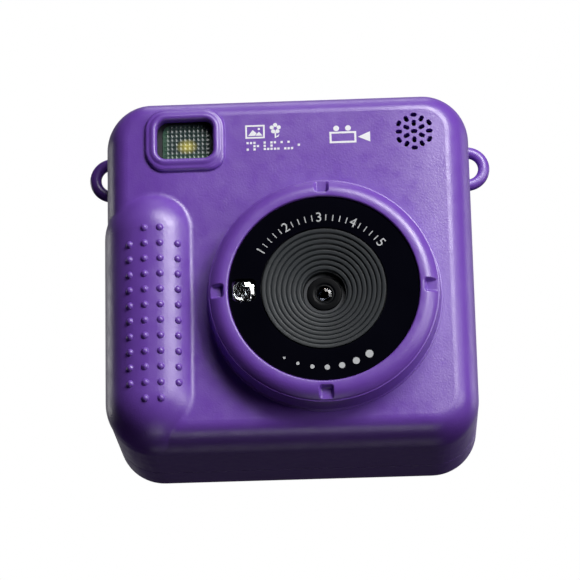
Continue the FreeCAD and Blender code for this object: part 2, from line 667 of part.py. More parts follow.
def lens_rear_glass():
    radius = REAR_GLASS_RADIUS
    glass = rod(radius, REAR_GLASS_FRONT, REAR_GLASS_BACK, LENS_X, LENS_Z)
    glass = glass.common(cap_sphere(radius, 0.5, REAR_GLASS_FRONT, -1))
    return glass.common(cap_sphere(radius, 0.5, REAR_GLASS_BACK, 1))


def lens_holder():
    """The square foot on the sensor board with the tube that takes the barrel."""
    foot_front = lens_y(HOLDER_FOOT)
    base = plate(HOLDER_BASE, HOLDER_BASE, 1.0, foot_front, SENSOR_BOARD_FRONT - 0.02, LENS_X, LENS_Z)
    tube = rod(HOLDER_RADIUS, lens_y(HOLDER_FRONT), foot_front + 1, LENS_X, LENS_Z)
    pocket = FILTER_SIZE + 0.2
    return base.fuse(tube).cut([
        rod(BARREL_RADIUS + RUNNING, lens_y(HOLDER_FRONT + CUT), lens_y(BARREL_BACK) + GAP, LENS_X, LENS_Z),
        rod(3.0, foot_front + 1, FILTER_FRONT + 0.6, LENS_X, LENS_Z),
        centred(LENS_X, LENS_Z, pocket, pocket, FILTER_FRONT - 0.05, SENSOR_BOARD_FRONT + CUT),
    ])


def screw(place, direction, head_radius, head_height, radius, length):
    """A pan-head screw whose head's underside is at place and whose shank runs along direction."""
    place, direction = Vector(*place), Vector(*direction)
    head = Part.makeCylinder(head_radius, head_height, place - direction * head_height, direction)
    shank = Part.makeCylinder(radius, length, place, direction)
    recess = Part.makeBox(head_radius * 1.2, head_radius * 0.3, head_height * 1.2)
    recess.translate(Vector(-head_radius * 0.6, -head_radius * 0.15, -head_height * 0.6))
    other = recess.copy()
    other.rotate(Vector(0, 0, 0), Z_AXIS, 90)
    cross = recess.fuse(other)
    turn = FreeCAD.Rotation(Z_AXIS, direction)
    cross.Placement = FreeCAD.Placement(place - direction * head_height, turn)
    return head.fuse(shank).removeSplitter().cut(cross)


def small_screws():
    """Identical screws: four for the lens ring, and those of the sensor, flash, button and main boards."""
    size = (SMALL_HEAD_RADIUS, SMALL_HEAD_HEIGHT, SMALL_SCREW_RADIUS, SMALL_SCREW_LENGTH)
    forward, back, up = (0, -1, 0), (0, 1, 0), (0, 0, 1)
    screws = [screw((x, FRONT_INNER, z), forward, *size) for x, z in ring_screw_places()]
    screws += [screw((x, SENSOR_BOARD_FRONT + 1.0, z), forward, *size) for x, z in sensor_screw_places()]
    screws += [screw((x, FLASH_BOARD_FRONT + 1.0, z), forward, *size) for x, z in flash_screw_places()]
    screws += [screw((x, BOARD_FRONT, z), back, *size) for x, z in BOARD_SCREWS]
    underside = BUTTON_BOARD_TOP - BUTTON_BOARD_THICK
    screws += [screw((x, TOP_BUTTON_Y, underside), up, *size) for x in BOARD_POSTS_X]
    return screws


def case_screws():
    size = (CASE_HEAD_RADIUS, CASE_HEAD_HEIGHT, CASE_SCREW_RADIUS, CASE_SCREW_LENGTH)
    return [screw((x, BACK - CASE_SCREW_SUNK, z), (0, -1, 0), *size) for x, z in case_screw_places()]


def holed(shape, places, y0, y1):
    return shape.cut([rod(SMALL_SCREW_RADIUS + RUNNING, y0, y1, x, z) for x, z in places])


def sensor_board():
    board = plate(SENSOR_BOARD_WIDTH, SENSOR_BOARD_HEIGHT, 1.5, SENSOR_BOARD_FRONT, SENSOR_BOARD_FRONT + 1, LENS_X,
                  LENS_Z)
    return holed(board, sensor_screw_places(), -20, 0)


def ribbon_connectors():
    """Three identical flat-cable sockets on the main board."""
    front, back = BOARD_FRONT - CONNECTOR_HEIGHT, BOARD_BACK + CONNECTOR_HEIGHT
    sensor = centred(LENS_X, SENSOR_PLUG_Z, CONNECTOR_WIDTH, CONNECTOR_DEPTH, front, BOARD_FRONT)
    buttons = centred(BUTTON_PLUG_X, BUTTON_PLUG_Z, CONNECTOR_WIDTH, CONNECTOR_DEPTH, front, BOARD_FRONT)
    display = centred(0, DISPLAY_PLUG_Z, CONNECTOR_WIDTH, CONNECTOR_DEPTH, BOARD_BACK, back)
    return [sensor, buttons, display]


def sensor_flex():
    """From the back of the sensor board down and across to the main board."""
    x0, x1 = LENS_X - FLEX_WIDTH / 2, LENS_X + FLEX_WIDTH / 2
    back, low = SENSOR_BOARD_FRONT + 1, SENSOR_PLUG_Z - FLEX_THICK / 2
    down = box(x0, x1, back + 0.02, back + FLEX_THICK, low, LENS_Z - 4.8)
    across = box(x0, x1, back + 0.02, BOARD_FRONT - CONNECTOR_HEIGHT - 0.05, low, low + FLEX_THICK)
    return down.fuse(across).removeSplitter()


def button_flex():
    x0, x1 = BUTTON_PLUG_X - FLEX_WIDTH / 2, BUTTON_PLUG_X + FLEX_WIDTH / 2
    top = BUTTON_BOARD_TOP - BUTTON_BOARD_THICK - GAP
    return box(x0, x1, TOP_BUTTON_Y, BOARD_FRONT - CONNECTOR_HEIGHT - 0.05, top - FLEX_THICK, top)


def display_flex():
    """From the lower edge of the screen module forward and down to the main board."""
    top, low = SCREEN_Z - MODULE_HEIGHT / 2 - 0.05, DISPLAY_PLUG_Z - FLEX_THICK / 2
    half, back = FLEX_WIDTH / 2, 17.8
    drop = box(-half, half, back - FLEX_THICK, back, low, top)
    forward = box(-half, half, BOARD_BACK + CONNECTOR_HEIGHT + 0.05, back, low, low + FLEX_THICK)
    return drop.fuse(forward).removeSplitter()


# ---- the flash ----
def flash_window():
    """The clear window, with a flange behind the opening."""
    seat = FRONT_INNER + GAP
    lens = plate(FLASH_WIDTH - 2 * GAP, FLASH_HEIGHT - 2 * GAP, FLASH_CORNER - GAP, FRONT + FLASH_SUNK, seat, FLASH_X,
                 FLASH_Z)
    flange = plate(FLASH_WIDTH + 2, FLASH_HEIGHT + 2, 3.4, seat, seat + 0.9, FLASH_X, FLASH_Z)
    return lens.fuse(flange).removeSplitter()


def flash_reflector():
    """A square bowl that narrows to the lamp."""
    front, back = FRONT_INNER + 1.1, FLASH_BOARD_FRONT - 0.05

    def frustum(grow):
        wide = rectangle(FLASH_WIDTH + grow, FLASH_HEIGHT + grow, front)
        narrow = rectangle(REFLECTOR_THROAT + grow, REFLECTOR_THROAT + grow, back)
        return Part.makeLoft([wide, narrow], True, True)

    return frustum(2 * REFLECTOR_WALL).cut(frustum(0))


def rectangle(width, height, y):
    x0, x1 = FLASH_X - width / 2, FLASH_X + width / 2
    z0, z1 = FLASH_Z - height / 2, FLASH_Z + height / 2
    return Part.makePolygon([Vector(x0, y, z0), Vector(x1, y, z0), Vector(x1, y, z1), Vector(x0, y, z1),
                             Vector(x0, y, z0)])


def flash_board():
    board = plate(FLASH_BOARD_WIDTH, FLASH_BOARD_HEIGHT, 1.5, FLASH_BOARD_FRONT, FLASH_BOARD_FRONT + 1, FLASH_X,
                  FLASH_Z)
    return holed(board, flash_screw_places(), -20, 0)


# ---- the speaker ----
def speaker_parts():
    x, z, radius = SPEAKER_X, SPEAKER_Z, SPEAKER_RADIUS
    front = FRONT_INNER + 1.2
    return {
        "speaker_gasket": pipe(radius, radius - 1.0, FRONT_INNER + 0.05, front - 0.05, x, z),
        "speaker_frame": pipe(radius, radius - 0.8, front, front + 2.5, x, z).fuse(
            pipe(radius, 4.1, front + 2.5, front + 3.2, x, z)).removeSplitter(),
        "speaker_cone": turned([(0, front + 0.3), (1.2, front + 0.3), ((2.0, front + 0.5), (2.4, front + 0.9)),
                                ((4.1, front + 0.25), (radius - 0.9, front + 0.8)), (radius - 0.9, front + 1.1),
                                ((4.1, front + 0.55), (2.4, front + 1.2)), ((2.0, front + 0.8), (1.2, front + 0.6)),
                                (0, front + 0.6)], x, z),
        "speaker_magnet": rod(MAGNET_RADIUS, front + 1.8, front + 4.2, x, z),
    }


# ---- buttons and keys ----
def button(x, radius, proud, travel):
    """A round cap with a lip under the top wall and a stem to its switch. It slides down."""
    lip_top = TOP_INNER - GAP
    cap = post(radius, lip_top - BUTTON_LIP_THICK, HEIGHT + proud, x, TOP_BUTTON_Y)
    cap = rounded(cap, min(0.8, proud * 0.6), at_z(HEIGHT + proud))
    lip = post(radius + BUTTON_LIP, lip_top - BUTTON_LIP_THICK, lip_top, x, TOP_BUTTON_Y)
    stem = post(BUTTON_STEM, SWITCH_TOP + travel + GAP, lip_top - BUTTON_LIP_THICK / 2, x, TOP_BUTTON_Y)
    return cap.fuse([lip, stem]).removeSplitter()


def tact_switch(x):
    """A square switch body with a round plunger, standing on the button board."""
    half = SWITCH_SIDE / 2
    y = TOP_BUTTON_Y
    body = box(x - half, x + half, y - half, y + half, BUTTON_BOARD_TOP, SWITCH_TOP - 1.0)
    return body.fuse(post(SWITCH_PLUNGER, SWITCH_TOP - 1.2, SWITCH_TOP, x, y)).removeSplitter()


def light_pipe():
    rod_part = post(LIGHT_RADIUS, BUTTON_BOARD_TOP + 1.2, HEIGHT + 0.15, LIGHT_X, TOP_BUTTON_Y)
    collar = post(LIGHT_RADIUS + 0.7, TOP_INNER - 1.0, TOP_INNER - 0.05, LIGHT_X, TOP_BUTTON_Y)
    return rounded(rod_part, 0.3, at_z(HEIGHT + 0.15)).fuse(collar).removeSplitter()


def button_board():
    board = box(-31.5, 12.5, -9, 3, BUTTON_BOARD_TOP - BUTTON_BOARD_THICK, BUTTON_BOARD_TOP)
    radius = SMALL_SCREW_RADIUS + RUNNING
    return board.cut([post(radius, 70, 90, x, TOP_BUTTON_Y) for x in BOARD_POSTS_X])


def key_plunger(x, z):
    tip = BOARD_BACK + DOME_HEIGHT + KEY_TRAVEL + 0.1
    return rod(KEY_STEM, tip, BACK_INNER - 0.5, x, z)


def arrow_key(name):
    lip = arrow(name, 0.55, BACK_INNER - 0.1 - KEY_LIP, BACK_INNER - 0.1)
    cap = arrow(name, 0, BACK_INNER - 0.5, BACK + KEY_PROUD)
    cap = rounded(cap, KEY_ROUND, at_y(BACK + KEY_PROUD))
    x, z = arrow_centre(name)
    return cap.fuse([lip, key_plunger(x, z)]).removeSplitter()


def arrow_centre(name):
    return on_circle((PAD_OUTER + PAD_INNER) / 2, -ARROWS[name], PAD_X, PAD_Z)


def round_key(x, radius, lip_width):
    lip = rod(radius + lip_width, BACK_INNER - 0.1 - KEY_LIP, BACK_INNER - 0.1, x, PAD_Z)
    cap = rod(radius, BACK_INNER - 0.5, BACK + KEY_PROUD, x, PAD_Z)
    cap = rounded(cap, KEY_ROUND, at_y(BACK + KEY_PROUD))
    return cap.fuse([lip, key_plunger(x, PAD_Z)]).removeSplitter()


def key_places():
    places = [arrow_centre(name) for name in ARROWS] + [(PAD_X, PAD_Z)]
    return places + [(x, PAD_Z) for x in ROUND_KEYS.values()]


def key_domes():
    """Snap domes on the board, one under each key."""
    return [Part.makeCone(2.4, 1.3, DOME_HEIGHT, Vector(x, BOARD_BACK, z), Y_AXIS) for x, z in key_places()]


# ---- the screen ----
def screen_window():
    width, height = WINDOW_WIDTH - 2 * GAP, WINDOW_HEIGHT - 2 * GAP
    window = plate(width, height, WINDOW_CORNER - GAP, BACK - WINDOW_THICK, BACK, 0, SCREEN_Z)
    return rounded(window, 0.25, at_y(BACK))


def display_gasket():
    outer = plate(MODULE_WIDTH - 1, MODULE_HEIGHT - 0.6, 0.5, MODULE_BACK + 0.03, BACK_INNER - 0.03, 0, SCREEN_Z)
    return outer.cut(centred(0, SCREEN_Z, OPENING_WIDTH + 1, OPENING_HEIGHT + 0.6, 10, 22))


def display_bracket():
    """The tray that holds the screen module off the main board."""
    low, high = BOARD_BACK + 0.05, MODULE_BACK - 0.3
    width, height = MODULE_WIDTH + 2 * BRACKET_EDGE, MODULE_HEIGHT + 2 * BRACKET_EDGE
    tray = plate(width, height, 1.5, low, high, 0, SCREEN_Z)
    pocket = centred(0, SCREEN_Z, MODULE_WIDTH + 0.2, MODULE_HEIGHT + 0.2, MODULE_BACK - MODULE_THICK - 0.05, 22)
    window = centred(0, SCREEN_Z, MODULE_WIDTH - 6, MODULE_HEIGHT - 8, 10, 22)
    cable_way = box(-5, 5, 10, 22, 30, SCREEN_Z - MODULE_HEIGHT / 2 + 1)
    return tray.cut([pocket, window, cable_way])


# ---- the main board and what stands on it ----
def main_board():
    width = 2 * BOARD_HALF_WIDTH
    middle = (BOARD_HIGH + BOARD_LOW) / 2
    board = plate(width, BOARD_HIGH - BOARD_LOW, BOARD_CORNER, BOARD_FRONT, BOARD_BACK, 0, middle)
    cuts = [rod(CASE_BOSS + 0.5, 0, 20, x, z) for x, z in case_screw_places()]
    for x, z in case_screw_places():
        edge = math.copysign(12, x)
        end = 12 if z > HEIGHT / 2 else -12
        cuts.append(box(min(x, x + edge), max(x, x + edge), 0, 20, min(z - 3.7, z + end), max(z + 3.7, z + end)))
    return holed(board.cut(cuts), BOARD_SCREWS, 0, 20)


def board_components():
    """Small parts on the front of the board: (x, z, width, height, thickness)."""
    chips = [(25, 57, 8, 6, 1.0), (-6, 66, 5, 5, 1.0), (22, 72, 6, 5, 2.4), (30, 70, 4, 4, 2.0), (14, 46, 3.2, 2.5, 0.9)]
    rows = [(8 + 3 * i, 70, 1.6, 0.8, 0.7) for i in range(3)] + [(4 + 3 * i, 49, 1.6, 0.8, 0.7) for i in range(3)]
    return [centred(x, z, w, h, BOARD_FRONT - t, BOARD_FRONT) for x, z, w, h, t in chips + rows]


def usb_socket():
    shell = plate_x(8.9, 3.2, 1.55, 34.0, 41.0, BOARD_FRONT - 1.62, USB_Z)
    mouth = plate_x(8.3, 2.6, 1.25, 35.0, 41.5, BOARD_FRONT - 1.62, USB_Z)
    tongue_plate = box(35.0, 40.2, BOARD_FRONT - 1.97, BOARD_FRONT - 1.27, USB_Z - 3.3, USB_Z + 3.3)
    return shell.cut(mouth).fuse(tongue_plate).removeSplitter()


def card_socket():
    case = box(27, 41, BOARD_FRONT - 1.9, BOARD_FRONT, CARD_Z - 6.8, CARD_Z + 6.8)
    return case.cut(box(28, 42, BOARD_FRONT - 1.6, BOARD_FRONT - 0.3, CARD_Z - 5.7, CARD_Z + 5.7))


def memory_card():
    y0 = BOARD_FRONT - 1.5
    card = box(28.1, 42.6, y0, y0 + 1.0, CARD_Z - 5.5, CARD_Z + 5.5)
    return card.cut(box(28, 34, y0 - 1, y0 + 2, CARD_Z + 4.2, CARD_Z + 6))


def battery_cell():
    back = BOARD_FRONT - BATTERY_OFF_BOARD
    cell = box(*BATTERY_X, back - BATTERY_THICK, back, *BATTERY_Z)
    return rounded(cell, BATTERY_ROUND, lambda edge: abs(edge.tangentAt(edge.FirstParameter).z) > 0.99)


def battery_tape():
    x0, x1 = BATTERY_X
    z0, z1 = BATTERY_Z
    inset = 3.5
    y0, y1 = BOARD_FRONT - BATTERY_OFF_BOARD + 0.03, BOARD_FRONT - 0.02
    return box(x0 + inset, x1 - inset, y0, y1, z0 + inset, z1 - inset)


def battery_connector():
    x, z = BATTERY_PLUG
    return centred(x, z, 7, 4.5, BOARD_FRONT - CONNECTOR_DEPTH, BOARD_FRONT)


def battery_lead():
    """Two wires from the top of the cell to the plug."""
    x, z = BATTERY_PLUG
    y = BOARD_FRONT - 2.5
    cell_x, cell_top = x - 1.5, BATTERY_Z[1]
    wires = []
    for side in (-WIRE_OFFSET, WIRE_OFFSET):
        bends = [(cell_x + side, cell_top + 0.2), (cell_x + side, cell_top + 2), (x + side, cell_top + 4.2),
                 (x + side, z - 2.4)]
        wires.append(cable([(px, y, pz) for px, pz in bends], WIRE_RADIUS))
    return wires


# ---- the port cover ----
def port_cover():
    """A hinged door over the sockets, with a fingernail lip at its free edge."""
    plate_low = WIDTH / 2 - PORT_PLATE
    door = box(plate_low, WIDTH / 2, PORT_FRONT, PORT_HINGE_Y, PORT_LOW, PORT_HIGH)
    knuckle = post(PORT_KNUCKLE, PORT_LOW, PORT_HIGH, PORT_HINGE_X, PORT_HINGE_Y)
    nail = post(4.0, PORT_LOW + 10.5, PORT_HIGH - 10.5, WIDTH / 2 + 3.4, PORT_FRONT - 0.6)
    door = door.fuse(knuckle).removeSplitter()
    bore = post(PORT_PIN + RUNNING, PORT_LOW - 1, PORT_HIGH + 1, PORT_HINGE_X, PORT_HINGE_Y)
    return door.cut([bore, nail])


def port_cover_pin():
    return post(PORT_PIN, PORT_LOW - 1.4, PORT_HIGH + 1.4, PORT_HINGE_X, PORT_HINGE_Y)


# ---- the list of pieces ----
def pieces():
    group = Part.makeCompound
    assist_x = LENS_X + ASSIST_OFFSET
    window = plate(ASSIST_SIZE, ASSIST_SIZE, 1.15, lens_y(PANEL_FRONT + 0.2), lens_y(6.0), assist_x, LENS_Z)
    parts = {
        "front_shell": front_shell(),
        "rear_cover": rear_cover(),
        "case_screws": group(case_screws()),
        "small_screws": group(small_screws()),
        "lens_ring": lens_ring(),
        "lens_panel": lens_panel(),
        "lens_cone": lens_cone(),
        "lens_barrel": lens_barrel(),
        "lens_front_glass": lens_front_glass(),
        "lens_rear_glass": lens_rear_glass(),
        "lens_holder": lens_holder(),
        "infrared_filter": centred(LENS_X, LENS_Z, FILTER_SIZE, FILTER_SIZE, FILTER_FRONT, FILTER_FRONT + FILTER_THICK),
        "image_sensor": centred(LENS_X, LENS_Z, SENSOR_WIDTH, SENSOR_HEIGHT, SENSOR_BOARD_FRONT - SENSOR_THICK,
                                SENSOR_BOARD_FRONT),
        "sensor_board": sensor_board(),
        "sensor_flex": sensor_flex(),
        "assist_window": rounded(window, 0.5, at_y(lens_y(PANEL_FRONT + 0.2))),
        "assist_lamp": centred(assist_x, LENS_Z, 5.0, 5.0, lens_y(5.9), lens_y(4.6)),
        "flash_window": flash_window(),
        "flash_reflector": flash_reflector(),
        "flash_lamp": centred(FLASH_X, FLASH_Z, FLASH_LAMP_WIDTH, FLASH_LAMP_HEIGHT, FLASH_BOARD_FRONT - 0.9,
                              FLASH_BOARD_FRONT),
        "flash_board": flash_board(),
        "shutter_button": button(SHUTTER_X, SHUTTER_RADIUS, SHUTTER_PROUD, SHUTTER_TRAVEL),
        "power_button": button(POWER_X, POWER_RADIUS, POWER_PROUD, POWER_TRAVEL),
        "button_switches": group([tact_switch(x) for x in (SHUTTER_X, POWER_X)]),
        "status_light_pipe": light_pipe(),
        "status_lamp": box(LIGHT_X - 1, LIGHT_X + 1, TOP_BUTTON_Y - 0.8, TOP_BUTTON_Y + 0.8, BUTTON_BOARD_TOP,
                           BUTTON_BOARD_TOP + 0.9),
        "button_board": button_board(),
        "button_flex": button_flex(),
        "screen_window": screen_window(),
        "display_gasket": display_gasket(),
        "display_module": centred(0, SCREEN_Z, MODULE_WIDTH, MODULE_HEIGHT, MODULE_BACK - MODULE_THICK, MODULE_BACK),
        "display_bracket": display_bracket(),
        "display_flex": display_flex(),
        "key_ok": round_key(PAD_X, OK_RADIUS, 0.35),
        "key_domes": group(key_domes()),
        "main_board": main_board(),
        "ribbon_connectors": group(ribbon_connectors()),
        "processor": centred(10, 59, 12, 12, BOARD_FRONT - 1.2, BOARD_FRONT),
        "board_components": group(board_components()),
        "microphone": rod(2.0, BOARD_BACK, BOARD_BACK + 1.5, MICROPHONE_X, MICROPHONE_Z),
        "microphone_boot": pipe(2.2, 0.7, BOARD_BACK + 1.6, BACK_INNER - 0.1, MICROPHONE_X, MICROPHONE_Z),
        "battery_cell": battery_cell(),
        "battery_tape": battery_tape(),
        "battery_connector": battery_connector(),
        "battery_lead": group(battery_lead()),
        "usb_socket": usb_socket(),
        "card_socket": card_socket(),
        "memory_card": memory_card(),
        "port_cover": port_cover(),
        "port_cover_pin": port_cover_pin(),
    }
    parts.update(speaker_parts())
    parts.update({name: arrow_key(name) for name in ARROWS})
    parts.update({name: round_key(x, ROUND_KEY_RADIUS, 0.8) for name, x in ROUND_KEYS.items()})
    return parts


os.makedirs("parts", exist_ok=True)
for name, shape in pieces().items():
    if len(shape.Solids) == 1:
        shape = shape.Solids[0]
    shape.exportStep(f"parts/{name}.step")
    print(name, "solids", len(shape.Solids), "valid", shape.isValid(), "mm3", round(shape.Volume, 1))
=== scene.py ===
import math
import random

import bmesh
import bpy
from mathutils import Matrix, Vector


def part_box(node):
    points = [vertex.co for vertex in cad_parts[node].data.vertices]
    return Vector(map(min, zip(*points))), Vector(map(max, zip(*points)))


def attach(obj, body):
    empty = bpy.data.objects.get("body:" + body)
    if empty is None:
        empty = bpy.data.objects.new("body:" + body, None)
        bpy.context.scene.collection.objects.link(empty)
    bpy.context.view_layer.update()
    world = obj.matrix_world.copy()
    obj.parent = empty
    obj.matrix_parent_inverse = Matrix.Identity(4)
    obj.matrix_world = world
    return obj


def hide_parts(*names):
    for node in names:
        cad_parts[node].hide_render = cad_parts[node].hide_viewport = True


# The looks of a children's digital camera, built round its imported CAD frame.
# Lengths in this script are millimetres, in the frame's own axes: +Z up, the lens looks along -Y.
# make_mesh turns them into metres.

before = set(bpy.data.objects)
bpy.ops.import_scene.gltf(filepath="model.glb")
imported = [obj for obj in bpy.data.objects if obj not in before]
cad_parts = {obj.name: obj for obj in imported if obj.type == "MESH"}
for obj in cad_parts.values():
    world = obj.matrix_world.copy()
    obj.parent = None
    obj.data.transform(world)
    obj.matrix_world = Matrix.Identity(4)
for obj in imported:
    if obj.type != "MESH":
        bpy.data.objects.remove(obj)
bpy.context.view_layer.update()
MM = 0.001


# ---- places read from the frame ----
def corners(node):
    """The lowest and highest corner of a CAD node, in millimetres."""
    low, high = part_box(node)
    return low / MM, high / MM


def middle(node):
    low, high = corners(node)
    return (low + high) / 2


LENS = middle("lens_panel")
PANEL_Y = corners("lens_panel")[0].y
RING_Y = corners("lens_ring")[0].y
FACE_Y = corners("lens_ring")[1].y


# ---- material nodes ----
class Graph:
    """A node tree being written: it adds nodes and joins them."""

    def __init__(self, tree):
        self.tree = tree
        tree.nodes.clear()

    def node(self, kind, **settings):
        """A new node. A setting named like an input feeds it, and any other sets a property."""
        made = self.tree.nodes.new(kind)
        for name, value in settings.items():
            if name in made.inputs:
                self.feed(made.inputs[name], value)
            else:
                setattr(made, name, value)
        return made

    def feed(self, socket, value):
        if isinstance(value, bpy.types.Node):
            value = value.outputs[0]
        if isinstance(value, bpy.types.NodeSocket):
            self.tree.links.new(value, socket)
        else:
            socket.default_value = value

    def math(self, operation, first, second=0.0):
        made = self.node("ShaderNodeMath", operation=operation)
        self.feed(made.inputs[0], first)
        self.feed(made.inputs[1], second)
        return made

    def span(self, value, low, high, start=0.0, end=1.0, kind="LINEAR"):
        """The value spread from low..high to start..end, and held there."""
        made = self.node("ShaderNodeMapRange", clamp=True, interpolation_type=kind)
        for index, item in enumerate((value, low, high, start, end)):
            self.feed(made.inputs[index], item)
        return made

    def blend(self, share, first, second):
        """One shader fading into another."""
        made = self.node("ShaderNodeMixShader")
        for index, item in enumerate((share, first, second)):
            self.feed(made.inputs[index], item)
        return made


class Recipe(Graph):
    """A material being written round one Principled shader."""

    def __init__(self, name):
        self.material = bpy.data.materials.new(name)
        self.material.use_nodes = True
        super().__init__(self.material.node_tree)
        self.output = self.node("ShaderNodeOutputMaterial")
        self.shader = self.node("ShaderNodeBsdfPrincipled")
        self.feed(self.output.inputs[0], self.shader)
        place = self.node("ShaderNodeTexCoord").outputs["Object"]
        self.position = self.node("ShaderNodeVectorMath", operation="SCALE", Vector=place, Scale=1 / MM)

    def set(self, **settings):
        for name, value in settings.items():
            self.feed(self.shader.inputs[name.replace("_", " ")], value)

    def mix(self, share, first, second):
        made = self.node("ShaderNodeMix", data_type="RGBA")
        self.feed(made.inputs[0], share)
        self.feed(made.inputs[6], first)
        self.feed(made.inputs[7], second)
        return made.outputs[2]

    def noise(self, grain, detail=2.0):
        """Noise whose features are about this many millimetres across."""
        return self.node("ShaderNodeTexNoise", Vector=self.position, Scale=1 / grain, Detail=detail)

    def drift(self, noise, low, high):
        """A value that wanders from low to high with a noise, which is mostly between 0.3 and 0.7 itself."""
        return self.span(noise, 0.3, 0.7, low, high)

    def smears(self, noise, low, high):
        """A value that rises from low to high only where a noise is strong."""
        return self.span(noise, 0.45, 0.75, low, high)

    def bump(self, height, depth, normal=None):
        """Surface relief of this many millimetres."""
        made = self.node("ShaderNodeBump", Height=height, Distance=depth * MM, Strength=1.0)
        if normal:
            self.feed(made.inputs["Normal"], normal)
        return made

    def edges(self, radius):
        """A softened normal near sharp edges, and how far it leans there (0 on flats, 1 on an edge)."""
        soft = self.node("ShaderNodeBevel", samples=4, Radius=radius * MM)
        true_normal = self.node("ShaderNodeNewGeometry").outputs["Normal"]
        dot = self.node("ShaderNodeVectorMath", operation="DOT_PRODUCT", Vector=soft)
        self.feed(dot.inputs[1], true_normal)
        return soft, self.span(dot.outputs["Value"], 0.995, 0.85)


def colour(red, green, blue):
    """A colour given as 0-255 display values."""
    def linear(value):
        value /= 255
        return value / 12.92 if value <= 0.04045 else ((value + 0.055) / 1.055) ** 2.4
    return (linear(red), linear(green), linear(blue), 1.0)


# ---- materials ----
CROWN_START = 22.0                      # how far from the middle the face starts to lean
CROWN_END = 36.0
CROWN_LEAN = 0.14
RAISED_OVER_FACE = 0.15                 # what stands further forward than this isn't part of the face


def crowned(made, normal):
    """Leans the flat face's normal a little outward near its sides, as on a face with a slight crown."""
    place = made.node("ShaderNodeSeparateXYZ", Vector=made.position)
    facing = made.node("ShaderNodeSeparateXYZ", Vector=normal).outputs["Y"]
    right = made.span(place.outputs["X"], CROWN_START, CROWN_END, 0.0, CROWN_LEAN)
    left = made.span(place.outputs["X"], -CROWN_START, -CROWN_END, 0.0, CROWN_LEAN)
    lean = made.math("SUBTRACT", right, left)
    not_raised = made.math("GREATER_THAN", place.outputs["Y"], FACE_Y - RAISED_OVER_FACE)
    lean = made.math("MULTIPLY", made.math("MULTIPLY", lean, not_raised), made.span(facing, -0.75, -1.0))
    leaned = made.node("ShaderNodeVectorMath", operation="ADD", Vector=normal)
    made.feed(leaned.inputs[1], made.node("ShaderNodeCombineXYZ", X=lean))
    return made.node("ShaderNodeVectorMath", operation="NORMALIZE", Vector=leaned)


def moulded(name, base, light, roughness, grain, relief, shine=0.5, crown=False):
    """Moulded plastic: fine spark texture, slow colour and gloss drift, and paler rubbed edges."""
    made = Recipe(name)
    soft, edge = made.edges(0.18)
    if crown:
        soft = crowned(made, soft)
    tone = made.mix(made.span(made.noise(9.0), 0.35, 0.65, 0.0, 0.35), base, light)
    rubbed = made.math("MULTIPLY", edge, made.span(made.noise(1.6), 0.4, 0.65, 0.05, 0.45))
    made.set(Base_Color=made.mix(rubbed, tone, light), Specular_IOR_Level=shine,
             Roughness=made.drift(made.noise(3.0), roughness - 0.05, roughness + 0.07),
             Normal=made.bump(made.noise(grain, detail=1.0), relief, soft))
    return made.material


def body_plastic():
    return moulded("body_plastic", colour(109, 67, 171), colour(120, 80, 182), roughness=0.34, grain=0.42,
                   relief=0.03, shine=0.9, crown=True)


def key_plastic():
    return moulded("key_plastic", colour(100, 66, 164), colour(124, 90, 186), roughness=0.3, grain=0.35,
                   relief=0.006)


def soft_cover():
    return moulded("soft_cover", colour(106, 70, 168), colour(128, 94, 186), roughness=0.6, grain=0.3,
                   relief=0.01)


def black_gloss():
    made = Recipe("black_gloss")
    haze = made.noise(14.0)
    hair = made.node("ShaderNodeTexNoise", Vector=made.position, Scale=1.5, Detail=6.0, Distortion=1.5)
    made.set(Base_Color=made.mix(haze, colour(4, 4, 10), colour(9, 9, 17)), Specular_IOR_Level=0.3,
             Roughness=made.smears(hair, 0.04, 0.08), Normal=made.bump(haze, 0.01))
    return made.material


def dark_plastic():
    made = Recipe("dark_plastic")
    soft, edge = made.edges(0.08)
    grain = made.noise(0.25, detail=3.0)
    pale_edges = made.math("MULTIPLY", edge, 0.4)
    made.set(Base_Color=made.mix(pale_edges, colour(58, 60, 64), colour(120, 124, 128)),
             Roughness=made.drift(grain, 0.36, 0.5), Normal=made.bump(grain, 0.004, soft))
    return made.material


def glass(name, tint, roughness=0.02):
    made = Recipe(name)
    smear = made.noise(2.5, detail=3.0)
    made.set(Base_Color=tint, Transmission_Weight=1.0, IOR=1.49,
             Roughness=made.smears(smear, roughness, roughness + 0.05))
    return made.material


def screen_glass():
    made = Recipe("screen_glass")
    smear = made.noise(6.0, detail=4.0)
    made.set(Base_Color=made.mix(smear, colour(6, 6, 9), colour(14, 14, 18)),
             Roughness=made.span(smear, 0.45, 0.7, 0.04, 0.12), Coat_Weight=0.5, Coat_Roughness=0.03)
    return made.material


def screen_panel():
    made = Recipe("screen_panel")
    cells = made.node("ShaderNodeTexChecker", Vector=made.position, Scale=4.0)
    made.set(Base_Color=made.mix(cells, colour(18, 19, 26), colour(24, 25, 34)),
             Roughness=made.drift(made.noise(1.0), 0.18, 0.26))
    return made.material


def metal(name, base, roughness, grain):
    made = Recipe(name)
    soft, edge = made.edges(0.06)
    brushed = made.noise(grain, detail=4.0)
    pale_edges = made.math("MULTIPLY", edge, 0.5)
    made.set(Base_Color=made.mix(pale_edges, base, colour(235, 235, 238)), Metallic=1.0,
             Roughness=made.drift(brushed, roughness - 0.06, roughness + 0.08),
             Normal=made.bump(brushed, 0.003, soft))
    return made.material


def lamp():
    made = Recipe("lamp")
    grain = made.noise(0.2)
    phosphor = made.mix(grain, colour(214, 188, 60), colour(238, 216, 96))
    made.set(Base_Color=phosphor, Emission_Color=phosphor, Emission_Strength=0.35,
             Roughness=made.drift(grain, 0.4, 0.55), Normal=made.bump(grain, 0.01))
    return made.material


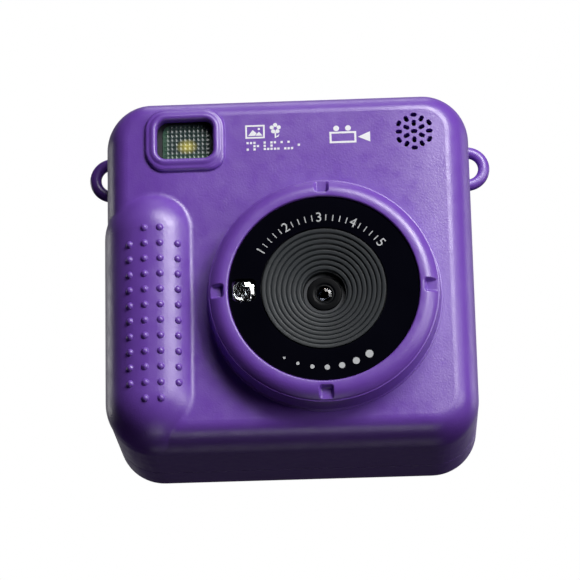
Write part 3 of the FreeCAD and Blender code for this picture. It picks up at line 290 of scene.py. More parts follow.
def matte(name, base, other, grain, roughness, relief):
    made = Recipe(name)
    soft, edge = made.edges(0.06)
    speck = made.noise(grain, detail=3.0)
    tone = made.mix(made.span(speck, 0.35, 0.65), base, other)
    pale_edges = made.math("MULTIPLY", edge, 0.25)
    made.set(Base_Color=made.mix(pale_edges, tone, colour(200, 200, 200)),
             Roughness=made.drift(speck, roughness - 0.06, roughness + 0.06),
             Normal=made.bump(speck, relief, soft))
    return made.material


def circuit_board():
    """Solder mask over a maze of copper tracks."""
    made = Recipe("circuit_board")
    cells = made.node("ShaderNodeTexVoronoi", Vector=made.position, Scale=0.55, distance="MANHATTAN",
                      feature="F1")
    lines = made.math("FRACT", made.math("MULTIPLY", cells, 3.0))
    track = made.math("GREATER_THAN", lines, 0.62)
    made.set(Base_Color=made.mix(track, colour(12, 74, 44), colour(28, 106, 62)), Coat_Weight=0.6,
             Coat_Roughness=0.2, Roughness=made.drift(made.noise(1.2), 0.36, 0.46),
             Normal=made.bump(track, 0.03))
    return made.material


def flex():
    """Amber film with copper lines along the cable."""
    made = Recipe("flex")
    across = made.node("ShaderNodeSeparateXYZ", Vector=made.position).outputs["X"]
    line = made.math("GREATER_THAN", made.math("FRACT", made.math("MULTIPLY", across, 2.0)), 0.5)
    made.set(Base_Color=made.mix(line, colour(170, 104, 30), colour(206, 138, 62)),
             Roughness=made.drift(made.noise(1.5), 0.28, 0.4), Normal=made.bump(line, 0.02))
    return made.material


def battery_wrap():
    made = Recipe("battery_wrap")
    crinkle = made.noise(2.2, detail=5.0)
    made.set(Base_Color=made.mix(crinkle, colour(168, 170, 176), colour(206, 208, 212)), Metallic=0.8,
             Roughness=made.drift(crinkle, 0.3, 0.45), Normal=made.bump(crinkle, 0.12))
    return made.material


def ink(name, base):
    """Printed ink, very slightly uneven."""
    made = Recipe(name)
    speck = made.noise(0.12)
    made.set(Base_Color=made.mix(speck, colour(*base), colour(*(value * 0.9 for value in base))),
             Roughness=made.drift(speck, 0.45, 0.6), Normal=made.bump(speck, 0.004))
    return made.material


MATERIALS = {
    "body_plastic": body_plastic(),
    "key_plastic": key_plastic(),
    "soft_cover": soft_cover(),
    "black_gloss": black_gloss(),
    "dark_plastic": dark_plastic(),
    "lens_glass": glass("lens_glass", colour(206, 214, 236)),
    "clear_plastic": glass("clear_plastic", colour(214, 236, 224), roughness=0.05),
    "screen_glass": screen_glass(),
    "screen_panel": screen_panel(),
    "steel": metal("steel", colour(176, 176, 180), 0.3, 0.4),
    "switch_metal": metal("switch_metal", colour(196, 196, 198), 0.36, 0.5),
    "reflector": metal("reflector", colour(214, 214, 218), 0.14, 1.5),
    "lamp": lamp(),
    "chip": matte("chip", colour(22, 22, 25), colour(32, 32, 36), 0.15, 0.55, 0.006),
    "circuit_board": circuit_board(),
    "flex": flex(),
    "connector": matte("connector", colour(224, 219, 204), colour(208, 202, 186), 0.3, 0.5, 0.005),
    "battery_wrap": battery_wrap(),
    "foam": matte("foam", colour(20, 20, 20), colour(34, 34, 34), 0.18, 0.9, 0.06),
    "wire": matte("wire", colour(150, 22, 18), colour(172, 34, 26), 0.6, 0.45, 0.004),
}
FACE_INK = ink("face_ink", (246, 246, 250))
PANEL_INK = ink("panel_ink", (186, 188, 190))


def paint_cad_nodes():
    """Gives each CAD node its procedural material, by the slot that the record names."""
    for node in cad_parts.values():
        for slot in node.material_slots:
            slot.material = MATERIALS[slot.material.name.split(".")[0]]


# ---- meshes ----
def make_mesh(name, shape, material, body="camera", smooth_angle=35.0):
    """A piece from (points in millimetres, faces). It rides on a body and takes its finish from a slot."""
    points, faces = shape
    mesh = bpy.data.meshes.new(name)
    mesh.from_pydata([Vector(point) * MM for point in points], [], faces)
    work = bmesh.new()
    work.from_mesh(mesh)
    bmesh.ops.remove_doubles(work, verts=work.verts, dist=0.0005 * MM)
    bmesh.ops.recalc_face_normals(work, faces=work.faces)
    work.to_mesh(mesh)
    work.free()
    mesh.shade_smooth()
    mesh.set_sharp_from_angle(angle=math.radians(smooth_angle))
    mesh.materials.append(material)
    piece = bpy.data.objects.new(name, mesh)
    bpy.context.scene.collection.objects.link(piece)
    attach(piece, body)
    return piece


def rounded_outline(points):
    """A closed outline from corners (across, along, corner radius), with each corner turned into an arc."""
    steps = 4
    nearly_straight = math.radians(88)
    outline = []
    for index, (across, along, radius) in enumerate(points):
        corner = Vector((across, along))
        before = Vector(points[index - 1][:2]) - corner
        after = Vector(points[(index + 1) % len(points)][:2]) - corner
        half = before.angle(after) / 2
        if radius <= 0 or half > nearly_straight:
            outline.append(corner)
            continue
        reach = min(radius / math.tan(half), 0.49 * before.length, 0.49 * after.length)
        radius = reach * math.tan(half)
        before.normalize()
        after.normalize()
        centre = corner + (before + after).normalized() * radius / math.sin(half)
        start = corner + before * reach - centre
        end = corner + after * reach - centre
        sweep = start.angle(end)
        for step in range(steps + 1):
            share = step / steps
            blend = start * math.sin((1 - share) * sweep) + end * math.sin(share * sweep)
            outline.append(centre + blend / math.sin(sweep))
    return outline


def even_angles(count):
    return [2 * math.pi * index / count for index in range(count)]


def turned(outline, angles, reshape=None):
    """Points and faces of a closed outline of (radius, height) swept round the lens axis. Height is in front
    of the face. reshape(radius, height, angle) may change the height."""
    points = []
    for angle in angles:
        across, along = math.cos(angle), math.sin(angle)
        for radius, height in outline:
            if reshape:
                height = reshape(radius, height, angle)
            points.append((LENS.x + radius * across, FACE_Y - height, LENS.z + radius * along))
    return points, ring_faces(len(angles), len(outline))


def ring_faces(loops, size):
    """Faces between closed loops of equally many points; the last loop joins the first."""
    faces = []
    for loop in range(loops):
        after = (loop + 1) % loops
        for index in range(size):
            beside = (index + 1) % size
            faces.append((loop * size + index, loop * size + beside,
                          after * size + beside, after * size + index))
    return faces


def looped(loops):
    """Points and faces of closed loops joined in turn."""
    return [point for loop in loops for point in loop], ring_faces(len(loops), len(loops[0]))


def joined(*parts):
    """Several (points, faces) lists as one."""
    points, faces = [], []
    for more_points, more_faces in parts:
        start = len(points)
        points += more_points
        faces += [tuple(index + start for index in face) for face in more_faces]
    return points, faces


def rounded_rectangle(centre, width, height, corner, y):
    """The points of a rounded rectangle that faces the front."""
    steps = 8
    points = []
    for quarter, (side_x, side_z) in enumerate(((1, -1), (1, 1), (-1, 1), (-1, -1))):
        for step in range(steps + 1):
            angle = math.pi / 2 * (quarter - 1 + step / steps)
            points.append((centre[0] + side_x * (width / 2 - corner) + corner * math.cos(angle), y,
                           centre[1] + side_z * (height / 2 - corner) + corner * math.sin(angle)))
    return points


def pillow_block(centre, width, height, corner, cells, level, back):
    """Points and faces of a block with a rounded-rectangle outline and a shaped front. level(x, z, rim) gives
    the height of the front at a place from the centre, where rim is 1 on the outline. cells is (columns,
    rows)."""
    columns, rows = cells
    points, faces = [], []
    for row in range(rows + 1):
        for column in range(columns + 1):
            x, z = width * (column / columns - 0.5), height * (row / rows - 0.5)
            rim = max(abs(x) / (width / 2), abs(z) / (height / 2))
            over_x, over_z = abs(x) - (width / 2 - corner), abs(z) - (height / 2 - corner)
            if over_x > 0 and over_z > 0:
                pull = max(over_x, over_z) / math.hypot(over_x, over_z)
                x = math.copysign(width / 2 - corner + over_x * pull, x)
                z = math.copysign(height / 2 - corner + over_z * pull, z)
            points.append((centre[0] + x, FACE_Y - level(x, z, rim), centre[1] + z))
    stride = columns + 1
    for row in range(rows):
        for column in range(columns):
            first = row * stride + column
            faces.append((first, first + 1, first + stride + 1, first + stride))
    bottom = list(range(columns))
    right = [row * stride + columns for row in range(rows)]
    top = [rows * stride + column for column in range(columns, 0, -1)]
    left = [row * stride for row in range(rows, 0, -1)]
    border = bottom + right + top + left
    count, first_back = len(border), len(points)
    points += [(points[index][0], FACE_Y - back, points[index][2]) for index in border]
    for index in range(count):
        beside = (index + 1) % count
        faces.append((border[index], border[beside], first_back + beside, first_back + index))
    faces.append(tuple(range(first_back, first_back + count)))
    return points, faces


def smooth_step(value):
    value = min(1.0, max(0.0, value))
    return value * value * (3 - 2 * value)


def near_rim(rim):
    """How near a place on a block is to its outline: 0 over most of the front, rising to 1 on the outline."""
    return smooth_step((rim - 0.9) / 0.1)


# ---- the lens ring ----
RING_BORE = 23.0
RING_BORE_FOOT = 6.1
RING_CROWN_START = 23.9
RING_CROWN_POWER = 2.3                  # the crown is nearly level inside and falls away late
RING_LIP = 27.35
RING_LIP_HEIGHT = 6.45
RING_WALL = (
    (27.41, 6.2, 0.06), (27.75, 6.14, 0.14), (28.2, 0.5, 0.12), (28.62, 0.42, 0.2), (28.62, 0.02, 0),
)                                       # under the lip, the tapered wall and its base flange, as
                                        # radius, height in front of the face, and corner radius
RING_HOLLOW = ((24.6, 0.02, 0), (24.6, 4.9, 0), (21.4, 4.9, 0), (21.4, RING_BORE_FOOT, 0))
NOTCH_FLOOR = 6.55
NOTCH_INNER = 23.95
NOTCH_HALF = 1.85
NOTCH_SLOPE = 0.75
NOTCH_CORNER = 0.9
NOTCH_REACH = math.radians(6.0)


def ring_outline():
    """The bore, the rounded crown, the lip, the tapered wall with its base flange, and the hollow behind."""
    top = FACE_Y - RING_Y
    crown_samples = 26
    crown = []
    for index in range(1, crown_samples + 1):
        share = index / crown_samples
        radius = RING_CROWN_START + (RING_LIP - RING_CROWN_START) * share
        crown.append((radius, top - (top - RING_LIP_HEIGHT) * share ** RING_CROWN_POWER, 0))
    return rounded_outline([
        (RING_BORE, RING_BORE_FOOT, 0), (RING_BORE, top, 0.5), (RING_CROWN_START, top, 0), *crown,
        *RING_WALL, *RING_HOLLOW])


def notch_angles():
    """Angles round the ring, close together across the four notches."""
    fine, coarse = 44, 40
    gap = math.pi / 2 - 2 * NOTCH_REACH
    angles = []
    for quarter in range(4):
        notch = quarter * math.pi / 2
        angles += [notch - NOTCH_REACH + 2 * NOTCH_REACH * index / fine for index in range(fine)]
        angles += [notch + NOTCH_REACH + gap * index / coarse for index in range(coarse)]
    return angles


def notched(radius, height, angle):
    """Presses the four soft-cornered notches into the ring's crown."""
    if height <= NOTCH_FLOOR:
        return height
    quarter = round(angle / (math.pi / 2)) * math.pi / 2
    sideways = abs(radius * math.sin(angle - quarter)) - (NOTCH_HALF - NOTCH_CORNER)
    inward = (NOTCH_INNER + NOTCH_CORNER) - radius
    outside = math.hypot(max(sideways, 0), max(inward, 0)) - NOTCH_CORNER
    return height - (height - NOTCH_FLOOR) * smooth_step(-outside / NOTCH_SLOPE)


def lens_ring():
    shape = turned(ring_outline(), notch_angles(), notched)
    ring = make_mesh("lens_ring_look", shape, MATERIALS["body_plastic"])
    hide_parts("lens_ring")


# ---- the stepped cone ----
CONE_STEPS = 8
CONE_PITCH = 1.19
CONE_DROP = 0.45
CONE_GROOVE = 0.36
CONE_GROOVE_DEPTH = 0.78
CONE_LEAN = 0.07
CONE_RIM = 2.0                          # how far the rim under the panel stands out
CONE_RIM_DEPTH = 1.35
CONE_RIM_FOOT = 2.9
CONE_BORE = 5.2
CONE_SIDES = 192


def lens_cone():
    """Treads that lean a little to the axis. The groove between two has a sloping outer side."""
    low, high = corners("lens_cone")
    rim = (high.x - low.x) / 2
    outer = rim - CONE_RIM
    top, seat = FACE_Y - low.y, FACE_Y - high.y
    outline = [(outer, top - CONE_RIM_DEPTH, 0)]
    for step in range(CONE_STEPS):
        radius = outer - CONE_PITCH * step
        level = top - CONE_DROP * step
        tread_end = radius - CONE_PITCH + CONE_GROOVE
        outline += [(radius, level, 0.07), (tread_end, level - CONE_LEAN, 0.1),
                    (radius - CONE_PITCH, level - CONE_GROOVE_DEPTH, 0.05)]
    inner = outer - CONE_PITCH * CONE_STEPS
    level = top - CONE_DROP * CONE_STEPS
    outline += [(inner, level, 0.08), (CONE_BORE, level - 0.15, 0.1), (CONE_BORE, seat + 0.02, 0),
                (outer, seat + CONE_RIM_FOOT, 0), (rim, seat + CONE_RIM_FOOT, 0),
                (rim, top - CONE_RIM_DEPTH, 0)]
    shape = turned(rounded_outline(outline), even_angles(CONE_SIDES))
    cone = make_mesh("lens_cone_look", shape, cone_plastic())
    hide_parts("lens_cone")


def cone_plastic():
    """Dark grey plastic, turned on a lathe: fine rings round the lens axis."""
    made = Recipe("cone_plastic")
    from_axis = made.node("ShaderNodeVectorMath", operation="SUBTRACT", Vector=made.position)
    made.feed(from_axis.inputs[1], (LENS.x, 0, LENS.z))
    flat = made.node("ShaderNodeVectorMath", operation="MULTIPLY", Vector=from_axis)
    made.feed(flat.inputs[1], (1, 0, 1))
    radius = made.node("ShaderNodeVectorMath", operation="LENGTH", Vector=flat).outputs["Value"]
    rings = made.node("ShaderNodeTexNoise", noise_dimensions="1D", W=radius, Scale=9.0, Detail=3.0)
    cloud = made.span(made.noise(2.2), 0.35, 0.7, 0.0, 0.35)
    tone = made.mix(rings, colour(27, 30, 33), colour(50, 54, 58))
    made.set(Base_Color=made.mix(cloud, tone, colour(29, 32, 35)), Roughness=made.drift(rings, 0.3, 0.44),
             Normal=made.bump(rings, 0.01))
    return made.material


# ---- the small lens ----
APERTURE = 0.62
BARREL_SIDES = 96
BARREL_PROFILE = (
    (2.75, 0.0, 0.1), (2.3, 0.22, 0.05), (2.05, 0.15, 0.05), (1.85, 0.4, 0.05), (1.2, 0.95, 0.05),
    (1.1, 0.75, 0.06), (0.78, 0.9, 0.06), (APERTURE, 1.5, 0),
)                                       # radius, depth behind the barrel's front, and corner radius
GLASS_RADIUS = 2.02
GLASS_RISE = 0.5                        # of the domed front over its edge
GLASS_THICK = 0.62
GLASS_SUNK = 0.02                       # the middle of the glass, behind the barrel's front
GLASS_SIDES = 64
GLASS_ROWS = 10


def lens_barrel():
    """The black barrel with a dished front and a pale rim round the aperture, and the domed glass on it."""
    low, high = corners("lens_barrel")
    outer = (high.x - low.x) / 2
    top, back = FACE_Y - low.y, FACE_Y - high.y
    dish = [(radius, top - depth, corner) for radius, depth, corner in BARREL_PROFILE]
    outline = rounded_outline([(outer, back, 0), (outer, top, 0.25), *dish, (APERTURE, back, 0)])
    shape = turned(outline, even_angles(BARREL_SIDES))
    barrel = make_mesh("lens_barrel_look", shape, barrel_black())
    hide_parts("lens_barrel", "lens_front_glass")

    ball = (GLASS_RADIUS**2 + GLASS_RISE**2) / (2 * GLASS_RISE)
    crown = top - GLASS_SUNK
    radii = [GLASS_RADIUS * (1 - row / GLASS_ROWS) for row in range(GLASS_ROWS + 1)]
    outline = [(radius, crown - ball + math.sqrt(ball**2 - radius**2)) for radius in radii]
    outline += [(0.0, crown - GLASS_THICK), (GLASS_RADIUS, crown - GLASS_THICK)]
    shape = turned(outline, even_angles(GLASS_SIDES))
    make_mesh("lens_front_glass_look", shape, MATERIALS["lens_glass"])


def barrel_black():
    """Black anodised barrel; the thin rims round the glass and the aperture are paler."""
    made = Recipe("barrel_black")
    soft, edge = made.edges(0.12)
    grain = made.noise(0.2, detail=3.0)
    # the sharp rims round the glass and the aperture are mixed strongly toward pale grey
    pale_edges = made.math("MULTIPLY", edge, 0.8)
    made.set(Base_Color=made.mix(pale_edges, colour(5, 6, 9), colour(100, 104, 106)), Specular_IOR_Level=0.12,
             Roughness=made.drift(grain, 0.34, 0.46), Normal=made.bump(grain, 0.003, soft))
    return made.material


# ---- the flash ----
DIFFUSER_WIDTH = 11.8
DIFFUSER_HEIGHT = 10.0
DIFFUSER_CORNER = 2.2
DIFFUSER_COLUMNS = 11
DIFFUSER_ROWS = 9
DIMPLE_DEPTH = 0.2
DIMPLE_CELLS = 6                        # mesh cells across one dimple
DIFFUSER_RIM_DROP = 0.25
FLANGE_THICK = 0.88
FLANGE_CORNER = 3.4
FLANGE_CELLS = (40, 32)
MASK_OUTLINE = (14.3, 11.5, 2.75)       # width, height and corner radius
MASK_OPENING = (12.1, 9.7, 2.3)
MASK_SUNK = 0.5
# LAMP_SPOT is the middle of the painted yellow glow on the diffuser
LAMP_SPOT = (0.1, -0.75)                # where the lamp shows through, from the window's middle
SURROUND_WIDTH = 19.2
SURROUND_HEIGHT = 15.4
SURROUND_CORNER = 5.0
SURROUND_SHIFT = (-0.3, 0.4)            # the rim isn't quite centred on the window
SURROUND_PROFILE = (
    (-0.25, -0.6), (-0.25, 0.45), (-0.1, 0.8), (0.2, 1.02), (0.55, 1.08), (0.85, 1.1), (1.1, 1.3),
    (1.45, 1.52), (1.85, 1.6), (2.2, 1.52), (2.5, 1.28), (2.66, 0.9), (2.7, 0.4), (2.7, -0.9), (2.2, -0.9),
    (2.2, -0.6),
)                                       # inward from the edge, and forward from the face


def flash_window():
    """The clear diffuser: a block with a grid of pyramid dimples, on a flange. A mask and a rim surround it."""
    low, high = corners("flash_window")
    centre = ((low.x + high.x) / 2, (low.z + high.z) / 2)
    front, seat = FACE_Y - low.y, FACE_Y - high.y

    def dimples(x, z, rim):
        across = abs((x / DIFFUSER_WIDTH * DIFFUSER_COLUMNS + 0.5) % 1 - 0.5) * 2
        along = abs((z / DIFFUSER_HEIGHT * DIFFUSER_ROWS + 0.5) % 1 - 0.5) * 2
        pit = (1 - max(across, along)) * smooth_step((1 - rim) / 0.12)
        return front - DIMPLE_DEPTH * pit - DIFFUSER_RIM_DROP * near_rim(rim)

    def level_front(x, z, rim):
        return seat + FLANGE_THICK

    cells = (DIFFUSER_COLUMNS * DIMPLE_CELLS, DIFFUSER_ROWS * DIMPLE_CELLS)
    block = pillow_block(centre, DIFFUSER_WIDTH, DIFFUSER_HEIGHT, DIFFUSER_CORNER, cells, dimples,
                         seat + FLANGE_THICK + 0.02)
    flange = pillow_block(centre, high.x - low.x, high.z - low.z, FLANGE_CORNER, FLANGE_CELLS, level_front,
                          seat)
    window = make_mesh("flash_window_look", joined(block, flange), flash_plastic(centre),
                       smooth_angle=24)
    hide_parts("flash_window")
    flash_mask(centre, FACE_Y - front + MASK_SUNK, FACE_Y - seat - FLANGE_THICK - 0.07)
    flash_surround((centre[0] + SURROUND_SHIFT[0], centre[1] + SURROUND_SHIFT[1]))


def flash_mask(centre, front_y, back_y):
    """The black frame round the diffuser, on its flange."""
    loops = [rounded_rectangle(centre, *MASK_OUTLINE, front_y),
             rounded_rectangle(centre, *MASK_OUTLINE, back_y),
             rounded_rectangle(centre, *MASK_OPENING, back_y),
             rounded_rectangle(centre, *MASK_OPENING, front_y)]
    make_mesh("flash_mask", looped(loops), MATERIALS["chip"])


def flash_surround(centre):
    """The soft raised rim round the flash, over the plain bezel of the shell."""
    loops = []
    for inward, forward in SURROUND_PROFILE:
        width, height = SURROUND_WIDTH - 2 * inward, SURROUND_HEIGHT - 2 * inward
        loops.append(rounded_rectangle(centre, width, height, SURROUND_CORNER - inward, FACE_Y - forward))
    make_mesh("flash_surround", looped(loops), MATERIALS["body_plastic"], smooth_angle=50)


def flash_plastic(centre):
    """Greenish clear plastic in front of the lamp, drawn opaque: dark teal, its own tint darkened by painted
    shade of the hollow behind it, greener at its low and left edges, with a painted yellow glow (colour and
    weak emission) where the lamp shows through."""
    made = Recipe("flash_plastic")
    place = made.node("ShaderNodeVectorMath", operation="SUBTRACT", Vector=made.position)
    made.feed(place.inputs[1], (centre[0] + LAMP_SPOT[0], 0, centre[1] + LAMP_SPOT[1]))
    parts = made.node("ShaderNodeSeparateXYZ", Vector=place)
    across, along = made.math("MULTIPLY", parts.outputs["X"], 0.75), parts.outputs["Z"]
    away = made.math("SQRT", made.math("ADD", made.math("MULTIPLY", across, across),
                                       made.math("MULTIPLY", along, along)))
    # painted yellow glow round the lamp spot: it feeds both the colour and a weak emission
    painted_lamp_glow = made.span(away, 2.1, 0.2)
    green = made.math("MAXIMUM", made.span(along, -1.6, -4.2), made.span(parts.outputs["X"], -4.2, -6.0))
    cloud = made.noise(1.4)
    # dark teal: the plastic's tint with painted shade of the lamp's hollow behind it
    body = made.mix(cloud, colour(36, 50, 48), colour(58, 72, 70))
    body = made.mix(made.math("MULTIPLY", green, 0.6), body, colour(72, 118, 80))
    body = made.mix(made.math("MULTIPLY", painted_lamp_glow, 0.75), body, colour(196, 186, 92))
    made.set(Base_Color=body, Roughness=made.drift(cloud, 0.24, 0.34), Specular_IOR_Level=0.5,
             Emission_Color=colour(216, 200, 96), Emission_Strength=made.math("MULTIPLY", painted_lamp_glow, 0.12),
             Normal=made.bump(made.noise(0.3), 0.01))
    return made.material


# ---- the assist window ----
ASSIST_DOME = 6.2                       # the radius of the cap's dome
ASSIST_CORNER = 1.9
ASSIST_PROUD = 0.15                     # the middle of the cap, over the CAD window's front
ASSIST_THICK = 0.9
ASSIST_EDGE_DROP = 0.35
ASSIST_CELLS = (40, 40)
BEAD_PLACE = Vector((1.5, -1.95))       # a small bead moulded on the cap
BEAD_RADIUS = 0.3
BEAD_HEIGHT = 0.16
STAR_SPOKES = 14
STAR_RINGS = ((0.9, 0.22), (1.9, 0.3), (2.6, 0.1))      # radius, and how far the facets swing
STAR_SHIFT = (0.15, 0.1)                # the star's middle isn't quite in the middle of the window


def assist_window():
    """A clear domed cap over a star of silvered facets."""
    low, high = corners("assist_window")
    centre = ((low.x + high.x) / 2, (low.z + high.z) / 2)
    width = high.x - low.x
    front, seat = FACE_Y - low.y, FACE_Y - high.y

    def dome(x, z, rim):
        bulge = math.sqrt(ASSIST_DOME**2 - x * x - z * z) - ASSIST_DOME
        edge = ASSIST_EDGE_DROP * near_rim(rim)
        bead = BEAD_HEIGHT * smooth_step(1 - (Vector((x, z)) - BEAD_PLACE).length / BEAD_RADIUS)
        return front + ASSIST_PROUD + bulge - edge + bead

    block = pillow_block(centre, width, width, ASSIST_CORNER, ASSIST_CELLS, dome, front - ASSIST_THICK)
    cap = make_mesh("assist_window_look", block, assist_clear(), smooth_angle=40)
    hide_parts("assist_window")
    assist_reflector(centre, seat)


def assist_reflector(centre, seat):
    """A star of silvered facets behind the cap: rings of points round a hub, swinging forward and back."""
    points = [(centre[0] + STAR_SHIFT[0], FACE_Y - seat - 0.55, centre[1] + STAR_SHIFT[1])]
    for ring, (radius, swing) in enumerate(STAR_RINGS):
        for spoke in range(STAR_SPOKES):
            angle = 2 * math.pi * (spoke + 0.5 * (ring % 2)) / STAR_SPOKES
            side = 1 if (spoke + ring) % 2 else -1
            height = seat + 0.45 + swing * side + 0.12 * math.sin(5 * angle + ring)
            points.append((centre[0] + radius * math.cos(angle), FACE_Y - height,
                           centre[1] + radius * math.sin(angle)))
    last = 1 + (len(STAR_RINGS) - 1) * STAR_SPOKES
    back = len(points)
    points += [(x, FACE_Y - seat + 0.2, z) for x, _, z in points[last:]]
    faces = []
    for spoke in range(STAR_SPOKES):
        after = (spoke + 1) % STAR_SPOKES
        faces.append((0, 1 + spoke, 1 + after))
        for inner in range(1, last, STAR_SPOKES):
            outer = inner + STAR_SPOKES
            faces.append((inner + spoke, outer + spoke, outer + after))
            faces.append((inner + spoke, outer + after, inner + after))
        faces.append((last + spoke, last + after, back + after, back + spoke))
    faces.append(tuple(range(back, back + STAR_SPOKES)))
    star = make_mesh("assist_reflector", (points, faces), MATERIALS["reflector"], smooth_angle=5)
    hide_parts("assist_lamp")


def assist_clear():
    """Clear polished plastic with a silvered sheen."""
    made = Recipe("assist_clear")
    rough = made.smears(made.noise(0.8, detail=3.0), 0.02, 0.06)
    made.set(Base_Color=colour(222, 226, 230), Transmission_Weight=1.0, IOR=1.49, Roughness=rough)
    sheen = made.node("ShaderNodeBsdfAnisotropic", Color=(1, 1, 1, 1), Roughness=rough)
    made.feed(made.output.inputs[0], made.blend(0.28, made.shader, sheen))
    return made.material


# ---- printed marks ----
INK_THICK = 0.035
INK_SUNK = 0.01
MARK_ANGLE = 20.0                       # edges sharper than this stay sharp on a mark
SCALE_RADIUS = 17.7                     # of the numbers and ticks from the lens axis
SCALE_START = 147.0                     # degrees round the lens, anticlockwise from +X
SCALE_END = 38.0
SCALE_NUMBERS = 5
TICKS_PER_NUMBER = 5
NUMBER_SIZE = 3.3
DOTS_RADIUS = 19.7
DOTS_START = 240.0
DOTS_SWEEP = 62.0
DOTS = 7
KEY_ARROWS = {
    "key_up": ("up_key", 90),
    "key_down": ("down_key", 270),
    "key_left": ("left_key", 0),
    "key_right": ("right_key", 180),
}                                       # the body, and the way the arrow points, in degrees from +X
ARROW_HEAD = ((0.95, 0.0), (-0.7, 0.95), (-0.7, -0.95))


def raised(polygons, y, side=-1):
    """Flat shapes (lists of x, z) as thin closed plates on a surface at y. side is the way they face in Y."""
    points, faces = [], []
    for polygon in polygons:
        start, size = len(points), len(polygon)
        points += [(x, y + side * INK_THICK, z) for x, z in polygon]
        points += [(x, y - side * INK_SUNK, z) for x, z in polygon]
        faces.append(tuple(range(start, start + size)))
        faces.append(tuple(range(start + 2 * size - 1, start + size - 1, -1)))
        for index in range(size):
            beside = (index + 1) % size
            faces.append((start + index, start + beside, start + size + beside, start + size + index))
    return points, faces


def placed(polygon, x, z, angle=0.0, scale=1.0):
    """A shape drawn about 0, 0, turned and moved to a place."""
    c, s = math.cos(angle) * scale, math.sin(angle) * scale
    return [(x + px * c - pz * s, z + px * s + pz * c) for px, pz in polygon]


def disc(radius, sides=20):
    return [(radius * math.cos(angle), radius * math.sin(angle)) for angle in even_angles(sides)]


def bar(width, height, x=0.0, z=0.0):
    return [(x - width / 2, z - height / 2), (x + width / 2, z - height / 2),
            (x + width / 2, z + height / 2), (x - width / 2, z + height / 2)]


def frame_bars(width, height, line):
    """A rectangle's outline as four bars."""
    half_w, half_h = (width - line) / 2, (height - line) / 2
    return [bar(width, line, 0, half_h), bar(width, line, 0, -half_h),
            bar(line, height - 2 * line, half_w, 0), bar(line, height - 2 * line, -half_w, 0)]


def numeral(character, size, x, z, angle, y):
    """Points and faces of a number as a thin plate that faces the front."""
    curve = bpy.data.curves.new("numeral", "FONT")
    curve.body = character
    curve.size = size
    curve.align_x, curve.align_y = "CENTER", "CENTER"
    curve.extrude = INK_THICK
    shape = bpy.data.objects.new("numeral", curve)
    bpy.context.scene.collection.objects.link(shape)
    evaluated = shape.evaluated_get(bpy.context.evaluated_depsgraph_get())
    mesh = evaluated.to_mesh()
    places = placed([(vertex.co.x, vertex.co.y) for vertex in mesh.vertices], x, z, angle)
    points = [(px, y - vertex.co.z, pz) for (px, pz), vertex in zip(places, mesh.vertices)]
    faces = [tuple(polygon.vertices) for polygon in mesh.polygons]
    evaluated.to_mesh_clear()
    bpy.data.objects.remove(shape)
    bpy.data.curves.remove(curve)
    return points, faces


def around_lens(radius, degrees):
    """A place round the lens, and the turn that stands a mark upright there."""
    angle = math.radians(degrees)
    return LENS.x + radius * math.cos(angle), LENS.z + radius * math.sin(angle), angle - math.pi / 2


def panel_marks():
    """A plain dial scale on the black panel: the numbers 1 to 5 with ticks between, and a row of growing
    dots."""
    parts = []
    last = (SCALE_NUMBERS - 1) * TICKS_PER_NUMBER
    for index in range(last + 1):
        x, z, angle = around_lens(SCALE_RADIUS, SCALE_START + (SCALE_END - SCALE_START) * index / last)
        number, tick = divmod(index, TICKS_PER_NUMBER)
        if tick == 0:
            parts.append(numeral(str(number + 1), NUMBER_SIZE, x, z, angle, PANEL_Y))
        else:
            parts.append(raised([placed(bar(0.22, 1.5), x, z, angle)], PANEL_Y))
    for index in range(DOTS):
        x, z, _ = around_lens(DOTS_RADIUS, DOTS_START + DOTS_SWEEP * index / (DOTS - 1))
        parts.append(raised([placed(disc(0.3 + 0.11 * index), x, z)], PANEL_Y))
    make_mesh("panel_marks", joined(*parts), PANEL_INK, smooth_angle=MARK_ANGLE)


def picture_icon(x, z, width, height):
    """A picture: a frame, two hills and a sun."""
    ground = -height * 0.3
    near_hill = [(-width * 0.36, ground), (-width * 0.02, ground), (width * 0.08, -height * 0.12),
                 (-width * 0.12, height * 0.14)]
    far_hill = [(0.0, ground), (width * 0.38, ground), (width * 0.2, 0.0)]
    sun = placed(disc(height * 0.09), width * 0.2, height * 0.2)
    shapes = frame_bars(width, height, 0.42) + [near_hill, far_hill, sun]
    return [placed(shape, x, z) for shape in shapes]


def flower_icon(x, z, size):
    """A flower for close-ups: five petals round a gap, and a stalk with a leaf."""
    shapes = []
    for petal in range(5):
        angle = math.pi / 2 + 2 * math.pi * petal / 5
        shapes.append(placed(disc(size * 0.15, 12), size * 0.26 * math.cos(angle),
                             size * 0.2 + size * 0.26 * math.sin(angle)))
    shapes.append(bar(size * 0.1, size * 0.42, 0, -size * 0.3))
    shapes.append([(0.0, -size * 0.46), (size * 0.3, -size * 0.2), (size * 0.2, -size * 0.42)])
    return [placed(shape, x, z) for shape in shapes]


def film_icon(x, z, width, height):
    """A film camera: a body with a lens hood and two reels."""
    level = -height * 0.16
    shapes = [placed(shape, -width * 0.17, level) for shape in frame_bars(width * 0.66, height * 0.62, 0.5)]
    shapes.append([(width * 0.2, level), (width * 0.5, height * 0.12), (width * 0.5, -height * 0.44)])
    shapes += [placed(disc(height * 0.15), width * offset, height * 0.33) for offset in (-0.33, -0.04)]
    return [placed(shape, x, z) for shape in shapes]


def pixel_strip(x0, x1, z0, z1):
    """A strip of small squares that thins out to the right."""
    size, pitch = 0.56, 0.84
    columns, rows = int((x1 - x0) / pitch), int((z1 - z0) / pitch)
    draw = random.Random(4)
    shapes = []
    for column in range(columns):
        for row in range(rows):
            if draw.random() > 0.2 + 0.62 * column / columns:
                shapes.append(bar(size, size, x0 + pitch * (column + 0.5), z0 + pitch * (row + 0.5)))
    return shapes


